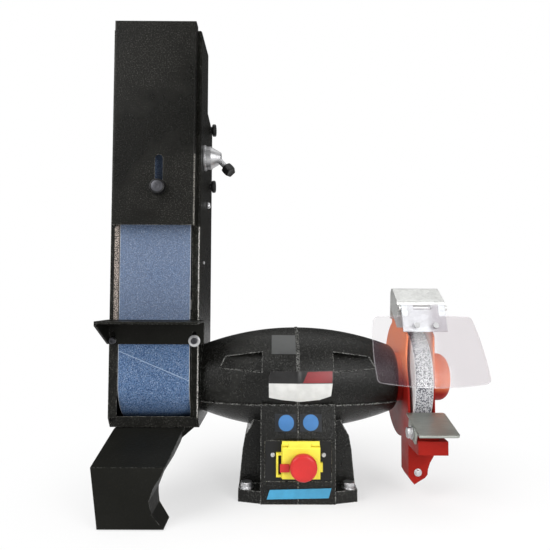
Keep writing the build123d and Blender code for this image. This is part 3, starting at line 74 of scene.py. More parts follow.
camera_data = bpy.data.cameras.new("photo_camera")
camera_data.sensor_fit = "HORIZONTAL"
camera_data.sensor_width = 36.0
camera_data.lens = 33.70
camera = bpy.data.objects.new("photo_camera", camera_data)
scene.collection.objects.link(camera)
axes = Matrix((right, up, -forward)).transposed().to_4x4()
camera.matrix_world = Matrix.Translation(camera_place) @ axes
scene.camera = camera
print("camera at", tuple(round(v, 3) for v in camera_place))

# %% [markdown]
# Shader trees are easier to read when each node is made in one line. These helpers make a node with its
# values, join two sockets, and do the sums and mixes that every finish needs.


# %% Helpers for shader trees
def shader_node(tree, kind, values=None, **settings):
    """Add a node, set its properties, then its input values by name or number."""
    made = tree.nodes.new(kind)
    for name, value in settings.items():
        setattr(made, name, value)
    for name, value in (values or {}).items():
        made.inputs[name].default_value = value
    return made


def join(tree, source, target):
    """Draw one noodle from an output socket to an input socket."""
    tree.links.new(source, target)


def number(tree, operation, first, second):
    """A Math node; each side is a socket or a plain number."""
    made = shader_node(tree, "ShaderNodeMath", operation=operation)
    for slot, value in enumerate((first, second)):
        if isinstance(value, (int, float)):
            made.inputs[slot].default_value = value
        else:
            join(tree, value, made.inputs[slot])
    return made.outputs[0]


def times(tree, first, second):
    """Product of two masks or numbers."""
    return number(tree, "MULTIPLY", first, second)


def axes_of(tree, where):
    """The X, Y and Z sockets of a coordinate."""
    apart = shader_node(tree, "ShaderNodeSeparateXYZ")
    join(tree, where, apart.inputs[0])
    return [apart.outputs[axis] for axis in "XYZ"]


def ramped(tree, value, low, high, to_low=0.0, to_high=1.0):
    """A Map Range node that eases a value from one range to another."""
    made = shader_node(
        tree,
        "ShaderNodeMapRange",
        {"From Min": low, "From Max": high, "To Min": to_low, "To Max": to_high},
        interpolation_type="SMOOTHSTEP",
    )
    join(tree, value, made.inputs["Value"])
    return made.outputs["Result"]


def mixed(tree, mask, first, second):
    """A colour mix; each colour is a socket or a plain (r, g, b)."""
    made = shader_node(tree, "ShaderNodeMix", data_type="RGBA")
    join(tree, mask, made.inputs[0])
    for slot, colour in ((6, first), (7, second)):
        if isinstance(colour, tuple):
            made.inputs[slot].default_value = (*colour, 1)
        else:
            join(tree, colour, made.inputs[slot])
    return made.outputs[2]


# %% [markdown]
# The studio is a pale floor, a white surround and four soft boxes, one of them small, for the wheel. The
# floor shows white to the camera further out, through Light Path, and keeps the machine's own soft shadow
# close to it. Reflections see a room that is bright behind the camera and dim behind the machine, so that
# its flanks stay black.

# %% Floor
bpy.ops.object.select_all(action="DESELECT")
bpy.ops.mesh.primitive_plane_add(size=8.0, location=(0, 0, 0))
floor = bpy.context.object
floor.name = "floor"
floor_paint = bpy.data.materials.new("floor_paint")
floor_paint.use_nodes = True
tree = floor_paint.node_tree
floor_shader = tree.nodes["Principled BSDF"]
floor_shader.inputs["Base Color"].default_value = (0.90, 0.90, 0.90, 1)
floor_shader.inputs["Roughness"].default_value = 0.9
floor_shader.inputs["Specular IOR Level"].default_value = 0.1
place = shader_node(tree, "ShaderNodeTexCoord").outputs["Object"]
reach = shader_node(tree, "ShaderNodeVectorMath", operation="LENGTH")
join(tree, place, reach.inputs[0])
path = shader_node(tree, "ShaderNodeLightPath")
seen = number(tree, "MAXIMUM", path.outputs["Is Camera Ray"], path.outputs["Is Glossy Ray"])
seen = number(tree, "MAXIMUM", seen, path.outputs["Is Transmission Ray"])
far_out = ramped(tree, reach.outputs["Value"], 0.10, 0.50, 0.55, 1.0)
white = shader_node(tree, "ShaderNodeEmission", {"Color": (1, 1, 1, 1), "Strength": 1.0})
blend = shader_node(tree, "ShaderNodeMixShader")
join(tree, number(tree, "MULTIPLY", seen, far_out), blend.inputs[0])
join(tree, floor_shader.outputs[0], blend.inputs[1])
join(tree, white.outputs[0], blend.inputs[2])
join(tree, blend.outputs[0], tree.nodes["Material Output"].inputs["Surface"])
floor.data.materials.append(floor_paint)
print("floor", tuple(round(side, 1) for side in floor.dimensions))

# %% White surround
world = bpy.data.worlds.new("studio_room")
scene.world = world
world.use_nodes = True
tree = world.node_tree
path = shader_node(tree, "ShaderNodeLightPath")
direction = shader_node(tree, "ShaderNodeTexCoord").outputs["Generated"]
ambient = 0.42
behind_machine = 0.10
room = ramped(tree, axes_of(tree, direction)[1], -0.2, 0.6, ambient, behind_machine)
glossy = path.outputs["Is Glossy Ray"]
lit = times(tree, number(tree, "SUBTRACT", 1.0, glossy), ambient)
lit = number(tree, "ADD", lit, times(tree, glossy, room))
clear_view = number(tree, "MAXIMUM", path.outputs["Is Camera Ray"], path.outputs["Is Transmission Ray"])
background = tree.nodes["Background"]
join(tree, number(tree, "MAXIMUM", clear_view, lit), background.inputs["Strength"])
background.inputs["Color"].default_value = (1, 1, 1, 1)
print("surround", world.name)


# %% Soft boxes
def soft_box(name, place, aim, size, power):
    """A square area light that looks at a point."""
    data = bpy.data.lights.new(name, "AREA")
    data.shape = "SQUARE"
    data.size = size
    data.energy = power
    lamp = bpy.data.objects.new(name, data)
    lamp.location = place
    lamp.rotation_euler = (Vector(aim) - Vector(place)).to_track_quat("-Z", "Y").to_euler()
    scene.collection.objects.link(lamp)


soft_box("key_box", (-1.50, -1.05, 1.35), (-0.05, 0, 0.30), 1.3, 30.0)
soft_box("fill_box", (1.15, -1.45, 0.95), (0.05, 0, 0.22), 1.1, 9.0)
soft_box("top_box", (0.05, 0.25, 1.85), (0, 0, 0.25), 1.7, 10.0)
soft_box("wheel_box", (0.45, -0.85, 0.42), (0.172, -0.05, 0.19), 0.40, 3.3)
print("soft boxes:", [lamp.name for lamp in bpy.data.lights])

# %% [markdown]
# Several finishes share the same effects, so each effect is a node group: a fine grain for textured
# paint, whose flecks also serve as painted glints, a broad blotch for uneven sheen, and the rub along edges,
# whose paler colour is partly wear and partly a painted highlight.
# The edge is found with the Bevel node: its rounded normal is compared with the true one, so it needs no
# extra geometry on the CAD meshes.


# %% Shared effect groups
def effect_group(name, inputs, outputs):
    """An empty shader group with named sockets; gives the tree, its inputs and its outputs."""
    group = bpy.data.node_groups.new(name, "ShaderNodeTree")
    for label, kind, value in inputs:
        socket = group.interface.new_socket(label, in_out="INPUT", socket_type=kind)
        if value is not None:
            socket.default_value = value
    for label, kind in outputs:
        group.interface.new_socket(label, in_out="OUTPUT", socket_type=kind)
    entry = group.nodes.new("NodeGroupInput")
    leave = group.nodes.new("NodeGroupOutput")
    return group, entry.outputs, leave.inputs


def noise(tree, vector, scale, detail=2.0, roughness=0.5):
    """Noise value at a scale that is a number or a socket."""
    made = shader_node(tree, "ShaderNodeTexNoise", {"Detail": detail, "Roughness": roughness})
    join(tree, vector, made.inputs["Vector"])
    if isinstance(scale, (int, float)):
        made.inputs["Scale"].default_value = scale
    else:
        join(tree, scale, made.inputs["Scale"])
    return made.outputs[0]


NUMBER = "NodeSocketFloat"
VECTOR = "NodeSocketVector"

grain_group, entry, leave = effect_group(
    "paint_grain",
    [("Vector", VECTOR, None), ("Scale", NUMBER, 450.0)],
    [("Height", NUMBER), ("Fleck", NUMBER)],
)
lumps = noise(grain_group, entry["Vector"], entry["Scale"], 3.0, 0.55)
cells = shader_node(grain_group, "ShaderNodeTexVoronoi", feature="SMOOTH_F1")
join(grain_group, entry["Vector"], cells.inputs["Vector"])
join(grain_group, number(grain_group, "MULTIPLY", entry["Scale"], 0.8), cells.inputs["Scale"])
domes = number(grain_group, "SUBTRACT", 1.0, cells.outputs["Distance"])
height = number(grain_group, "ADD", times(grain_group, lumps, 0.7), times(grain_group, domes, 0.3))
join(grain_group, height, leave["Height"])
# Flecks: a sparse mask, used for glossier spots and for painted glints.
flecks = noise(grain_group, entry["Vector"], number(grain_group, "MULTIPLY", entry["Scale"], 0.85), 2.0, 0.7)
join(grain_group, ramped(grain_group, flecks, 0.54, 0.68), leave["Fleck"])

blotch_group, entry, leave = effect_group(
    "sheen_blotch",
    [("Vector", VECTOR, None), ("Scale", NUMBER, 14.0)],
    [("Mask", NUMBER)],
)
clouds = noise(blotch_group, entry["Vector"], entry["Scale"], 4.0, 0.6)
join(blotch_group, ramped(blotch_group, clouds, 0.35, 0.68), leave["Mask"])

# Edge mask: where a finish makes its edges paler with it, that colour is partly wear and partly a painted
# highlight.
edge_highlight_group, entry, leave = effect_group(
    "edge_rub_highlight",
    [("Vector", VECTOR, None), ("Radius", NUMBER, 0.001), ("Break Up", NUMBER, 260.0)],
    [("Mask", NUMBER), ("Bend", NUMBER), ("Normal", VECTOR)],
)
rounded = shader_node(edge_highlight_group, "ShaderNodeBevel", samples=5)
join(edge_highlight_group, entry["Radius"], rounded.inputs["Radius"])
true_normal = shader_node(edge_highlight_group, "ShaderNodeNewGeometry").outputs["Normal"]
match = shader_node(edge_highlight_group, "ShaderNodeVectorMath", operation="DOT_PRODUCT")
join(edge_highlight_group, rounded.outputs[0], match.inputs[0])
join(edge_highlight_group, true_normal, match.inputs[1])
bend = number(edge_highlight_group, "SUBTRACT", 1.0, match.outputs["Value"])
bend = ramped(edge_highlight_group, bend, 0.02, 0.22)
patches = ramped(edge_highlight_group, noise(edge_highlight_group, entry["Vector"], entry["Break Up"], 3.0), 0.44, 0.60)
join(edge_highlight_group, number(edge_highlight_group, "MULTIPLY", bend, patches), leave["Mask"])
join(edge_highlight_group, bend, leave["Bend"])
join(edge_highlight_group, rounded.outputs[0], leave["Normal"])
print("effect groups:", [g.name for g in bpy.data.node_groups])


# %% [markdown]
# A finish starts as a new material with Object coordinates ready, because every piece sits at the origin
# and so all patterns keep their real size across pieces.

# %% Start of a finish
finishes = {}


def new_finish(name):
    """A material with its tree, its shader and the Object coordinate socket."""
    material = bpy.data.materials.new(name)
    material.use_nodes = True
    tree = material.node_tree
    where = shader_node(tree, "ShaderNodeTexCoord").outputs["Object"]
    finishes[name] = material
    print("finish", name)
    return tree, tree.nodes["Principled BSDF"], where


def use_group(tree, group, where, values):
    """Place an effect group in a finish with its own values."""
    made = shader_node(tree, "ShaderNodeGroup", node_tree=group)
    for name, value in values.items():
        made.inputs[name].default_value = value
    join(tree, where, made.inputs["Vector"])
    return made.outputs


def scaled(colour, factor, lift=0.0):
    """A colour made brighter or darker, held below 1."""
    return tuple(min(1.0, factor * channel + lift) for channel in colour)


def raise_bump(tree, shader, height, depth, strength, normal=None):
    """Bump from a height socket, on top of an optional rounded normal."""
    made = shader_node(tree, "ShaderNodeBump", {"Strength": strength, "Distance": depth})
    join(tree, height, made.inputs["Height"])
    if normal is not None:
        join(tree, normal, made.inputs["Normal"])
    join(tree, made.outputs["Normal"], shader.inputs["Normal"])


# %% [markdown]
# Black textured paint covers most of the machine. On the sheet steel of the arm it is a hammered paint
# with small glints, painted into its colour as pale flecks; on the castings it is coarser, and on the chute
# and the work rest it is smooth and dull. All come from one function with different values. Along the arm's
# front flanges and the cover's right front edge, pale specks are a painted highlight for the light on the
# bends; each zone is given as a box, so the highlight stays on the same spot of the sheet.


# %% Black paints
def inside_box(tree, where, low, high):
    """Mask that is 1 inside a box in metres and fades at its walls."""
    soft = 0.0006
    mask = 1.0
    for place, start, end in zip(axes_of(tree, where), low, high):
        above = ramped(tree, place, start - soft, start + soft)
        below = ramped(tree, place, end - soft, end + soft, 1.0, 0.0)
        mask = times(tree, mask, times(tree, above, below))
    return mask


def textured_paint(
    name, deep, pale, rough, shine, painted_glint, grain_scale, depth, edge_radius, edge_highlight_colour, painted_highlight=None
):
    """Textured paint: grain bump, painted glints, uneven sheen, rubbed edges with a painted highlight and an
    optional painted highlight zone.
    """
    tree, shader, where = new_finish(name)
    grain = use_group(tree, grain_group, where, {"Scale": grain_scale})
    sheen = use_group(tree, blotch_group, where, {"Scale": 9.0})
    rub_highlight = use_group(tree, edge_highlight_group, where, {"Radius": edge_radius, "Break Up": grain_scale * 0.9})
    colour = mixed(tree, sheen["Mask"], deep, pale)
    # Painted glints: pale flecks in the edge highlight colour, stronger where the sheen blotch is high.
    painted_glint_amount = ramped(tree, sheen["Mask"], 0.0, 1.0, 0.35 * painted_glint, painted_glint)
    colour = mixed(tree, times(tree, grain["Fleck"], painted_glint_amount), colour, edge_highlight_colour)
    # Paler colour along edges: partly wear, partly a painted highlight.
    colour = mixed(tree, times(tree, rub_highlight["Mask"], 0.8), colour, edge_highlight_colour)
    if painted_highlight is not None:
        # Painted highlight: a box of pale specks along a flange or folded edge, for the light on its bend.
        low, high, highlight_colour = painted_highlight
        highlight_specks = ramped(tree, noise(tree, where, 820.0, 2.0, 0.6), 0.44, 0.56)
        highlight_mask = inside_box(tree, where, low, high)
        colour = mixed(tree, times(tree, highlight_mask, highlight_specks), colour, highlight_colour)
    join(tree, colour, shader.inputs["Base Color"])
    rough_value = ramped(tree, sheen["Mask"], 0.0, 1.0, *rough)
    rough_value = number(tree, "SUBTRACT", rough_value, times(tree, grain["Fleck"], 0.12))
    join(tree, rough_value, shader.inputs["Roughness"])
    shader.inputs["Specular IOR Level"].default_value = shine
    raise_bump(tree, shader, grain["Height"], depth, 0.6, rub_highlight["Normal"])


cover_low, cover_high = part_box("front_cover")
flange_front = -0.0660
flange_skin = -0.0590
# Boxes of painted highlight on the arm's front flanges and the cover's right front edge, each with its pale
# colour.
painted_highlight_zones = {
    "hammer_black": None,
    "plate_black": (
        (-0.1410, flange_front, 0.1120),
        (-0.1370, flange_skin, cover_low.z),
        (0.72, 0.70, 0.66),
    ),
    "side_black": (
        (-0.2595, flange_front, 0.2360),
        (-0.2500, flange_skin, 0.4200),
        (0.42, 0.36, 0.32),
    ),
    "cover_black": (
        (cover_high.x - 0.0016, cover_low.y - 0.0010, cover_low.z - 0.0010),
        (cover_high.x + 0.0010, cover_low.y + 0.0030, cover_low.z + 0.1000),
        (0.30, 0.29, 0.26),
    ),
}
for arm_paint, highlight_zone_box in painted_highlight_zones.items():
    textured_paint(
        arm_paint,
        deep=(0.0034, 0.0034, 0.0026),
        pale=(0.0070, 0.0069, 0.0055),
        rough=(0.26, 0.36),
        shine=0.05 if arm_paint == "plate_black" else 0.14,
        painted_glint=0.14,
        grain_scale=700.0,
        depth=0.0011,
        edge_radius=0.0017,
        edge_highlight_colour=(0.42, 0.41, 0.37),
        painted_highlight=highlight_zone_box,
    )
textured_paint(
    "smooth_black",
    deep=(0.0095, 0.0095, 0.0080),
    pale=(0.0125, 0.0125, 0.0108),
    rough=(0.40, 0.50),
    shine=0.05,
    painted_glint=0.02,
    grain_scale=420.0,
    depth=0.0005,
    edge_radius=0.0015,
    edge_highlight_colour=(0.16, 0.16, 0.15),
)
textured_paint(
    "cast_black",
    deep=(0.0034, 0.0034, 0.0027),
    pale=(0.0080, 0.0079, 0.0065),
    rough=(0.20, 0.32),
    shine=0.25,
    painted_glint=0.11,
    grain_scale=620.0,
    depth=0.0016,
    edge_radius=0.0022,
    edge_highlight_colour=(0.55, 0.55, 0.52),
)

# %% [markdown]
# The wheel guard is a casting under smooth red paint. Gloss paint has a slight orange-peel ripple rather
# than grain. High up, at the front, on the side that faces the belt and on the upper part of the dome,
# the red is painted a brighter orange: painted light where the guard looks more lit.

# %% Red paint
tree, shader, where = new_finish("guard_red")
sheen = use_group(tree, blotch_group, where, {"Scale": 16.0})
rub_highlight = use_group(tree, edge_highlight_group, where, {"Radius": 0.0014, "Break Up": 190.0})
plain_red = mixed(tree, sheen["Mask"], (0.240, 0.0098, 0.0066), (0.290, 0.0130, 0.0084))
# Painted light: a bright orange for the parts of the guard that look more lit.
painted_light_orange = mixed(tree, sheen["Mask"], (0.900, 0.250, 0.105), (0.950, 0.290, 0.125))
guard_x, guard_y, guard_z = axes_of(tree, where)
high = ramped(tree, guard_z, 0.150, 0.200)
toward_front = ramped(tree, guard_y, -0.035, 0.012, 1.0, 0.0)
inner_side = ramped(tree, guard_x, 0.152, 0.166, 1.0, 0.0)
open_side = number(tree, "MAXIMUM", toward_front, inner_side)
dome_side = ramped(tree, guard_x, 0.1945, 0.1975)
dome_top = ramped(tree, guard_z, 0.138, 0.158)
on_dome = times(tree, dome_side, dome_top)
painted_light_mask = number(tree, "MAXIMUM", times(tree, high, open_side), on_dome)
colour = mixed(tree, painted_light_mask, plain_red, painted_light_orange)
# Paler red along edges: partly rubbing, partly a painted highlight.
colour = mixed(tree, times(tree, rub_highlight["Mask"], 0.45), colour, (0.52, 0.050, 0.035))
join(tree, colour, shader.inputs["Base Color"])
join(tree, ramped(tree, sheen["Mask"], 0.0, 1.0, 0.38, 0.50), shader.inputs["Roughness"])
shader.inputs["Specular IOR Level"].default_value = 0.07
peel = noise(tree, where, 240.0, 2.0)
raise_bump(tree, shader, peel, 0.0004, 0.35, rub_highlight["Normal"])

# %% [markdown]
# The sanding belt is blue abrasive cloth. Its grit is a scatter of pale and dark grains; the stretch in
# front of the platen is used, so it is greyer. The glued joint crosses the belt as a pale slanting line,
# and both cut edges show the pale backing.

# %% Abrasive belt
tree, shader, where = new_finish("abrasive_blue")
belt_x, belt_y, belt_z = axes_of(tree, where)
grit = noise(tree, where, 620.0, 3.0, 0.65)
colour = mixed(tree, ramped(tree, grit, 0.40, 0.58), (0.014, 0.046, 0.128), (0.092, 0.166, 0.305))
spark = noise(tree, where, 900.0, 1.0)
bright_grains = times(tree, ramped(tree, spark, 0.57, 0.68), 0.60)
colour = mixed(tree, bright_grains, colour, (0.40, 0.48, 0.60))
used = ramped(tree, belt_z, 0.236, 0.252)
smear = use_group(tree, blotch_group, where, {"Scale": 9.0})["Mask"]
used = times(tree, used, ramped(tree, smear, 0.0, 1.0, 0.22, 0.42))
colour = mixed(tree, used, colour, (0.165, 0.180, 0.220))
joint_slope = -0.416
joint_start_x = -0.2475
joint_start_z = 0.2027
joint_height = times(tree, number(tree, "SUBTRACT", belt_x, joint_start_x), joint_slope)
off_joint = number(tree, "SUBTRACT", number(tree, "SUBTRACT", belt_z, joint_start_z), joint_height)
seam = ramped(tree, number(tree, "ABSOLUTE", off_joint, 0.0), 0.0001, 0.0006, 0.85, 0.0)
front_side = number(tree, "LESS_THAN", belt_y, -0.055)
colour = mixed(tree, times(tree, seam, front_side), colour, (0.46, 0.56, 0.68))
belt_middle = -0.2015
from_middle = number(tree, "ABSOLUTE", number(tree, "SUBTRACT", belt_x, belt_middle), 0.0)
frayed = number(tree, "ADD", from_middle, times(tree, grit, 0.0008))
colour = mixed(tree, ramped(tree, frayed, 0.0496, 0.0503), colour, (0.50, 0.51, 0.52))
join(tree, colour, shader.inputs["Base Color"])
shader.inputs["Roughness"].default_value = 0.82
shader.inputs["Specular IOR Level"].default_value = 0.35
raise_bump(tree, shader, grit, 0.0006, 0.6)

# %% [markdown]
# The grinding wheel is bonded grit: pale and dark grains pressed together. Two noises of different size,
# added and sharpened, scatter the grains, and the dressed side faces are smoother and more even.

# %% Grinding wheel
tree, shader, where = new_finish("wheel_grey")
wheel_x = axes_of(tree, where)[0]
wheel_middle = 0.174
rim_half = 0.0112
off_middle = number(tree, "ABSOLUTE", number(tree, "SUBTRACT", wheel_x, wheel_middle), 0.0)
side_face = ramped(tree, off_middle, rim_half, rim_half + 0.0012)
grains = noise(tree, where, 540.0, 3.0, 0.60)
fine = noise(tree, where, 1500.0, 2.0, 0.6)
speckle = number(tree, "ADD", times(tree, grains, 0.75), times(tree, fine, 0.25))
rim_colour = mixed(tree, ramped(tree, speckle, 0.46, 0.53), (0.018, 0.018, 0.032), (0.52, 0.52, 0.54))
side_colour = mixed(tree, speckle, (0.62, 0.61, 0.61), (0.90, 0.89, 0.89))
colour = mixed(tree, side_face, rim_colour, side_colour)
dust = use_group(tree, blotch_group, where, {"Scale": 30.0})["Mask"]
colour = mixed(tree, times(tree, dust, 0.15), colour, (0.46, 0.46, 0.49))
join(tree, colour, shader.inputs["Base Color"])
join(tree, ramped(tree, grains, 0.3, 0.7, 0.65, 0.9), shader.inputs["Roughness"])
raise_bump(tree, shader, speckle, 0.0005, 0.6)

# %% [markdown]
# Bare metals share one recipe: a stretched noise for the direction of working, a blotch for handling,
# and brighter edges, partly wear and partly a painted highlight. The stretch differs: along X on the tool
# rest and the shaft, across X on the drum, and none on zinc, which has a crystal bloom instead.


# %% Bare metals
def bare_metal(name, colour, rough, stretch, fine_depth, spangle=0.0, metal=1.0):
    """Metal with working marks along one direction and an optional zinc bloom."""
    tree, shader, where = new_finish(name)
    turn = shader_node(tree, "ShaderNodeMapping", {"Scale": stretch})
    join(tree, where, turn.inputs["Vector"])
    marks = noise(tree, turn.outputs[0], 60.0, 4.0, 0.6)
    handled = use_group(tree, blotch_group, where, {"Scale": 26.0})["Mask"]
    rub_highlight = use_group(tree, edge_highlight_group, where, {"Radius": 0.0009, "Break Up": 300.0})
    tone = mixed(tree, ramped(tree, marks, 0.3, 0.7), scaled(colour, 0.80), colour)
    if spangle:
        bloom = shader_node(tree, "ShaderNodeTexVoronoi", {"Scale": 130.0})
        join(tree, where, bloom.inputs["Vector"])
        part = shader_node(tree, "ShaderNodeSeparateColor")
        join(tree, bloom.outputs["Color"], part.inputs[0])
        tone = mixed(tree, times(tree, part.outputs[0], spangle), tone, scaled(colour, 1.12))
    # Brighter edges: partly wear, partly a painted highlight.
    tone = mixed(tree, times(tree, rub_highlight["Mask"], 0.5), tone, scaled(colour, 1.25))
    join(tree, tone, shader.inputs["Base Color"])
    shader.inputs["Metallic"].default_value = metal
    dullness = ramped(tree, handled, 0.0, 1.0, *rough)
    dullness = number(tree, "ADD", dullness, times(tree, marks, 0.10))
    join(tree, dullness, shader.inputs["Roughness"])
    raise_bump(tree, shader, marks, fine_depth, 0.25, rub_highlight["Normal"])


bare_metal("zinc", (0.64, 0.645, 0.63), (0.28, 0.42), (4.0, 4.0, 4.0), 0.0002, 0.6, 0.55)
# A paler, less metallic zinc for the strap: painted light that makes the bracket's front read brighter.
bare_metal("strap_zinc_painted_light", (0.68, 0.695, 0.72), (0.34, 0.48), (4.0, 4.0, 4.0), 0.0002, 0.6, 0.15)
bare_metal("dull_zinc", (0.46, 0.46, 0.465), (0.42, 0.56), (8.0, 8.0, 8.0), 0.0002, 0.0, 0.6)
bare_metal("rest_steel", (0.46, 0.48, 0.44), (0.36, 0.48), (1.0, 14.0, 14.0), 0.0003)
bare_metal("knob_disc", (0.10, 0.10, 0.11), (0.34, 0.46), (8.0, 8.0, 8.0), 0.0002)
bare_metal("fastener", (0.66, 0.66, 0.67), (0.22, 0.36), (8.0, 8.0, 8.0), 0.0002)
bare_metal("steel", (0.56, 0.56, 0.57), (0.24, 0.38), (1.0, 12.0, 12.0), 0.0002)
bare_metal("drum_aluminium", (0.68, 0.68, 0.69), (0.26, 0.40), (12.0, 1.0, 1.0), 0.0002)
bare_metal("core_iron", (0.24, 0.24, 0.25), (0.45, 0.60), (20.0, 1.0, 1.0), 0.0003)
bare_metal("copper", (0.60, 0.28, 0.13), (0.30, 0.45), (1.0, 10.0, 10.0), 0.0003)

# %% [markdown]
# Moulded plastics have a faint spark-eroded grain, a slightly uneven sheen and soft edges, lighter in colour,
# partly by rubbing and partly as a painted highlight. Only colour and gloss differ between the yellow switch,
# the red buttons, the green button and the black knobs.


# %% Moulded plastics
def moulded_plastic(name, colour, rough):
    """Plastic with a fine mould grain and rubbed edges that are partly a painted highlight."""
    tree, shader, where = new_finish(name)
    grain = use_group(tree, grain_group, where, {"Scale": 900.0})
    sheen = use_group(tree, blotch_group, where, {"Scale": 40.0})
    rub_highlight = use_group(tree, edge_highlight_group, where, {"Radius": 0.0008, "Break Up": 320.0})
    tone = mixed(tree, sheen["Mask"], scaled(colour, 0.86), colour)
    # Lighter edges: partly rubbing, partly a painted highlight.
    tone = mixed(tree, times(tree, rub_highlight["Mask"], 0.4), tone, scaled(colour, 1.15, 0.03))
    join(tree, tone, shader.inputs["Base Color"])
    join(tree, ramped(tree, sheen["Mask"], 0.0, 1.0, rough, rough + 0.12), shader.inputs["Roughness"])
    shader.inputs["Specular IOR Level"].default_value = 0.3
    raise_bump(tree, shader, grain["Height"], 0.0002, 0.25, rub_highlight["Normal"])


moulded_plastic("black_plastic", (0.0085, 0.0085, 0.0088), 0.34)
moulded_plastic("yellow_plastic", (0.91, 0.78, 0.075), 0.32)
moulded_plastic("red_plastic", (0.61, 0.028, 0.027), 0.30)
moulded_plastic("green_plastic", (0.05, 0.40, 0.10), 0.32)

# %% [markdown]
# The eye shield is a clear sheet with a faint lilac tint. Full glass would hide the wheel behind noise and
# dark shadows, so the sheet is thin glass by Alpha: mostly see-through, with a gloss that stays on top, a
# light haze in patches, and a film of grinding dust on the outer side, past the wheel. The strip right in
# front of the wheel is a near-white veil, painted light that brightens the wheel seen through it. The cut
# edge of the sheet is nearly solid and pale all round, a painted highlight.

# %% Clear shield
tree, shader, where = new_finish("clear")
haze = use_group(tree, blotch_group, where, {"Scale": 20.0})["Mask"]
rub_highlight = use_group(tree, edge_highlight_group, where, {"Radius": 0.0016, "Break Up": 30.0})
colour = mixed(tree, haze, (0.200, 0.130, 0.165), (0.240, 0.165, 0.200))
# Painted highlight: the cut edge of the sheet is pale.
colour = mixed(tree, rub_highlight["Bend"], colour, (0.62, 0.60, 0.62))
shield_x, _, shield_z = axes_of(tree, where)
# Painted light: a near-white veil on the strip in front of the wheel, to brighten the wheel behind it.
strip_start = ramped(tree, shield_x, 0.154, 0.161)
strip_end = ramped(tree, shield_x, 0.179, 0.186, 1.0, 0.0)
below_strap = ramped(tree, shield_z, 0.236, 0.246, 1.0, 0.0)
painted_light_strip = times(tree, times(tree, strip_start, strip_end), below_strap)
colour = mixed(tree, painted_light_strip, colour, (0.93, 0.93, 0.94))
join(tree, colour, shader.inputs["Base Color"])
join(tree, ramped(tree, haze, 0.0, 1.0, 0.06, 0.14), shader.inputs["Roughness"])
film_alpha = ramped(tree, shield_x, 0.176, 0.196, 0.075, 0.20)
strip_alpha = times(tree, painted_light_strip, ramped(tree, haze, 0.0, 1.0, 0.10, 0.13))
film_alpha = number(tree, "MAXIMUM", film_alpha, strip_alpha)
# The painted highlight on the edge is also nearly solid.
solid_edge = times(tree, rub_highlight["Bend"], 0.6)
join(tree, number(tree, "MAXIMUM", film_alpha, solid_edge), shader.inputs["Alpha"])
scratch = noise(tree, where, 300.0, 2.0)
raise_bump(tree, shader, scratch, 0.0001, 0.05)

# %% [markdown]
# The plates and stickers on the casting are coloured film. They stay plain: a dark band over a pale field
# on the nameplate, plain blue on the discs and the strip. Height chooses between two colours, and a faint
# handling blotch keeps the film from looking like one flat tone.


# %% Coloured films
def coloured_film(name, main, second=None, split_z=0.0):
    """Film with an optional second colour above a height."""
    tree, shader, where = new_finish(name)
    handled = use_group(tree, blotch_group, where, {"Scale": 55.0})["Mask"]
    tone = mixed(tree, handled, scaled(main, 0.86), main)
    if second is not None:
        soft = 0.0004
        band = ramped(tree, axes_of(tree, where)[2], split_z - soft, split_z + soft)
        upper = mixed(tree, handled, scaled(second, 0.8), second)
        tone = mixed(tree, band, tone, upper)
    rub_highlight = use_group(tree, edge_highlight_group, where, {"Radius": 0.0004, "Break Up": 420.0})
    # Lighter edges: partly rubbing, partly a painted highlight.
    tone = mixed(tree, times(tree, rub_highlight["Mask"], 0.4), tone, scaled(main, 1.2, 0.05))
    join(tree, tone, shader.inputs["Base Color"])
    join(tree, ramped(tree, handled, 0.0, 1.0, 0.34, 0.48), shader.inputs["Roughness"])
    ripple = noise(tree, where, 180.0, 2.0)
    raise_bump(tree, shader, ripple, 0.0002, 0.12, rub_highlight["Normal"])


coloured_film("plate_print", (0.62, 0.62, 0.60), (0.009, 0.0085, 0.0085), 0.1615)
coloured_film("plate_red", (0.22, 0.018, 0.022))
coloured_film("film_grey", (0.060, 0.062, 0.061))
coloured_film("film_navy", (0.0050, 0.0070, 0.0110))
coloured_film("film_blue", (0.045, 0.175, 0.420))
coloured_film("film_sky", (0.055, 0.330, 0.560))

# %% [markdown]
# Each CAD node takes the finish of its material slot, read from the imported record. A few nodes differ a
# little from the rest of their slot: the tool rest is ground steel, the shield's strap is paler and less
# metallic than the bracket, painted light that makes its front read brighter, its screws are dull, the chute
# and the work rest are smooth, and the three flanged sheets of the arm have their boxes of painted highlight.

# %% Dress the CAD nodes
own_finish = {
    "tool_rest": "rest_steel",
    "shield_strap": "strap_zinc_painted_light",
    "shield_screws": "dull_zinc",
    "arm_main_plate": "plate_black",
    "arm_side_cover": "side_black",
    "front_cover": "cover_black",
    "dust_chute": "smooth_black",
    "work_rest": "smooth_black",
}
for row in frame["record"]["subparts"]:
    name = row["node"]
    finish = finishes[own_finish.get(name, row["material_slot"])]
    mesh = nodes[name].data
    mesh.materials.clear()
    mesh.materials.append(finish)

# %% [markdown]
# From here on the small fittings are modelled as they would be by hand: a primitive, some edit-mode steps,
# a modifier or two that are applied, and then the piece is stood in its place. These helpers keep each
# fitting short. Sizes are written in millimetres, as on a drawing, and turned into metres by MM.

# %% Helpers for modelling
MM = 0.001
UP = (0, 0, 1)
FRONT = (0, -1, 0)
BACK = (0, 1, 0)
LEFT = (-1, 0, 0)
RIGHT = (1, 0, 0)


def only(piece):
    """Select one object and make it the active one."""
    bpy.ops.object.select_all(action="DESELECT")
    piece.select_set(True)
    bpy.context.view_layer.objects.active = piece


def apply_all(piece):
    """Apply every modifier, first to last."""
    only(piece)
    for modifier in list(piece.modifiers):
        bpy.ops.object.modifier_apply(modifier=modifier.name)


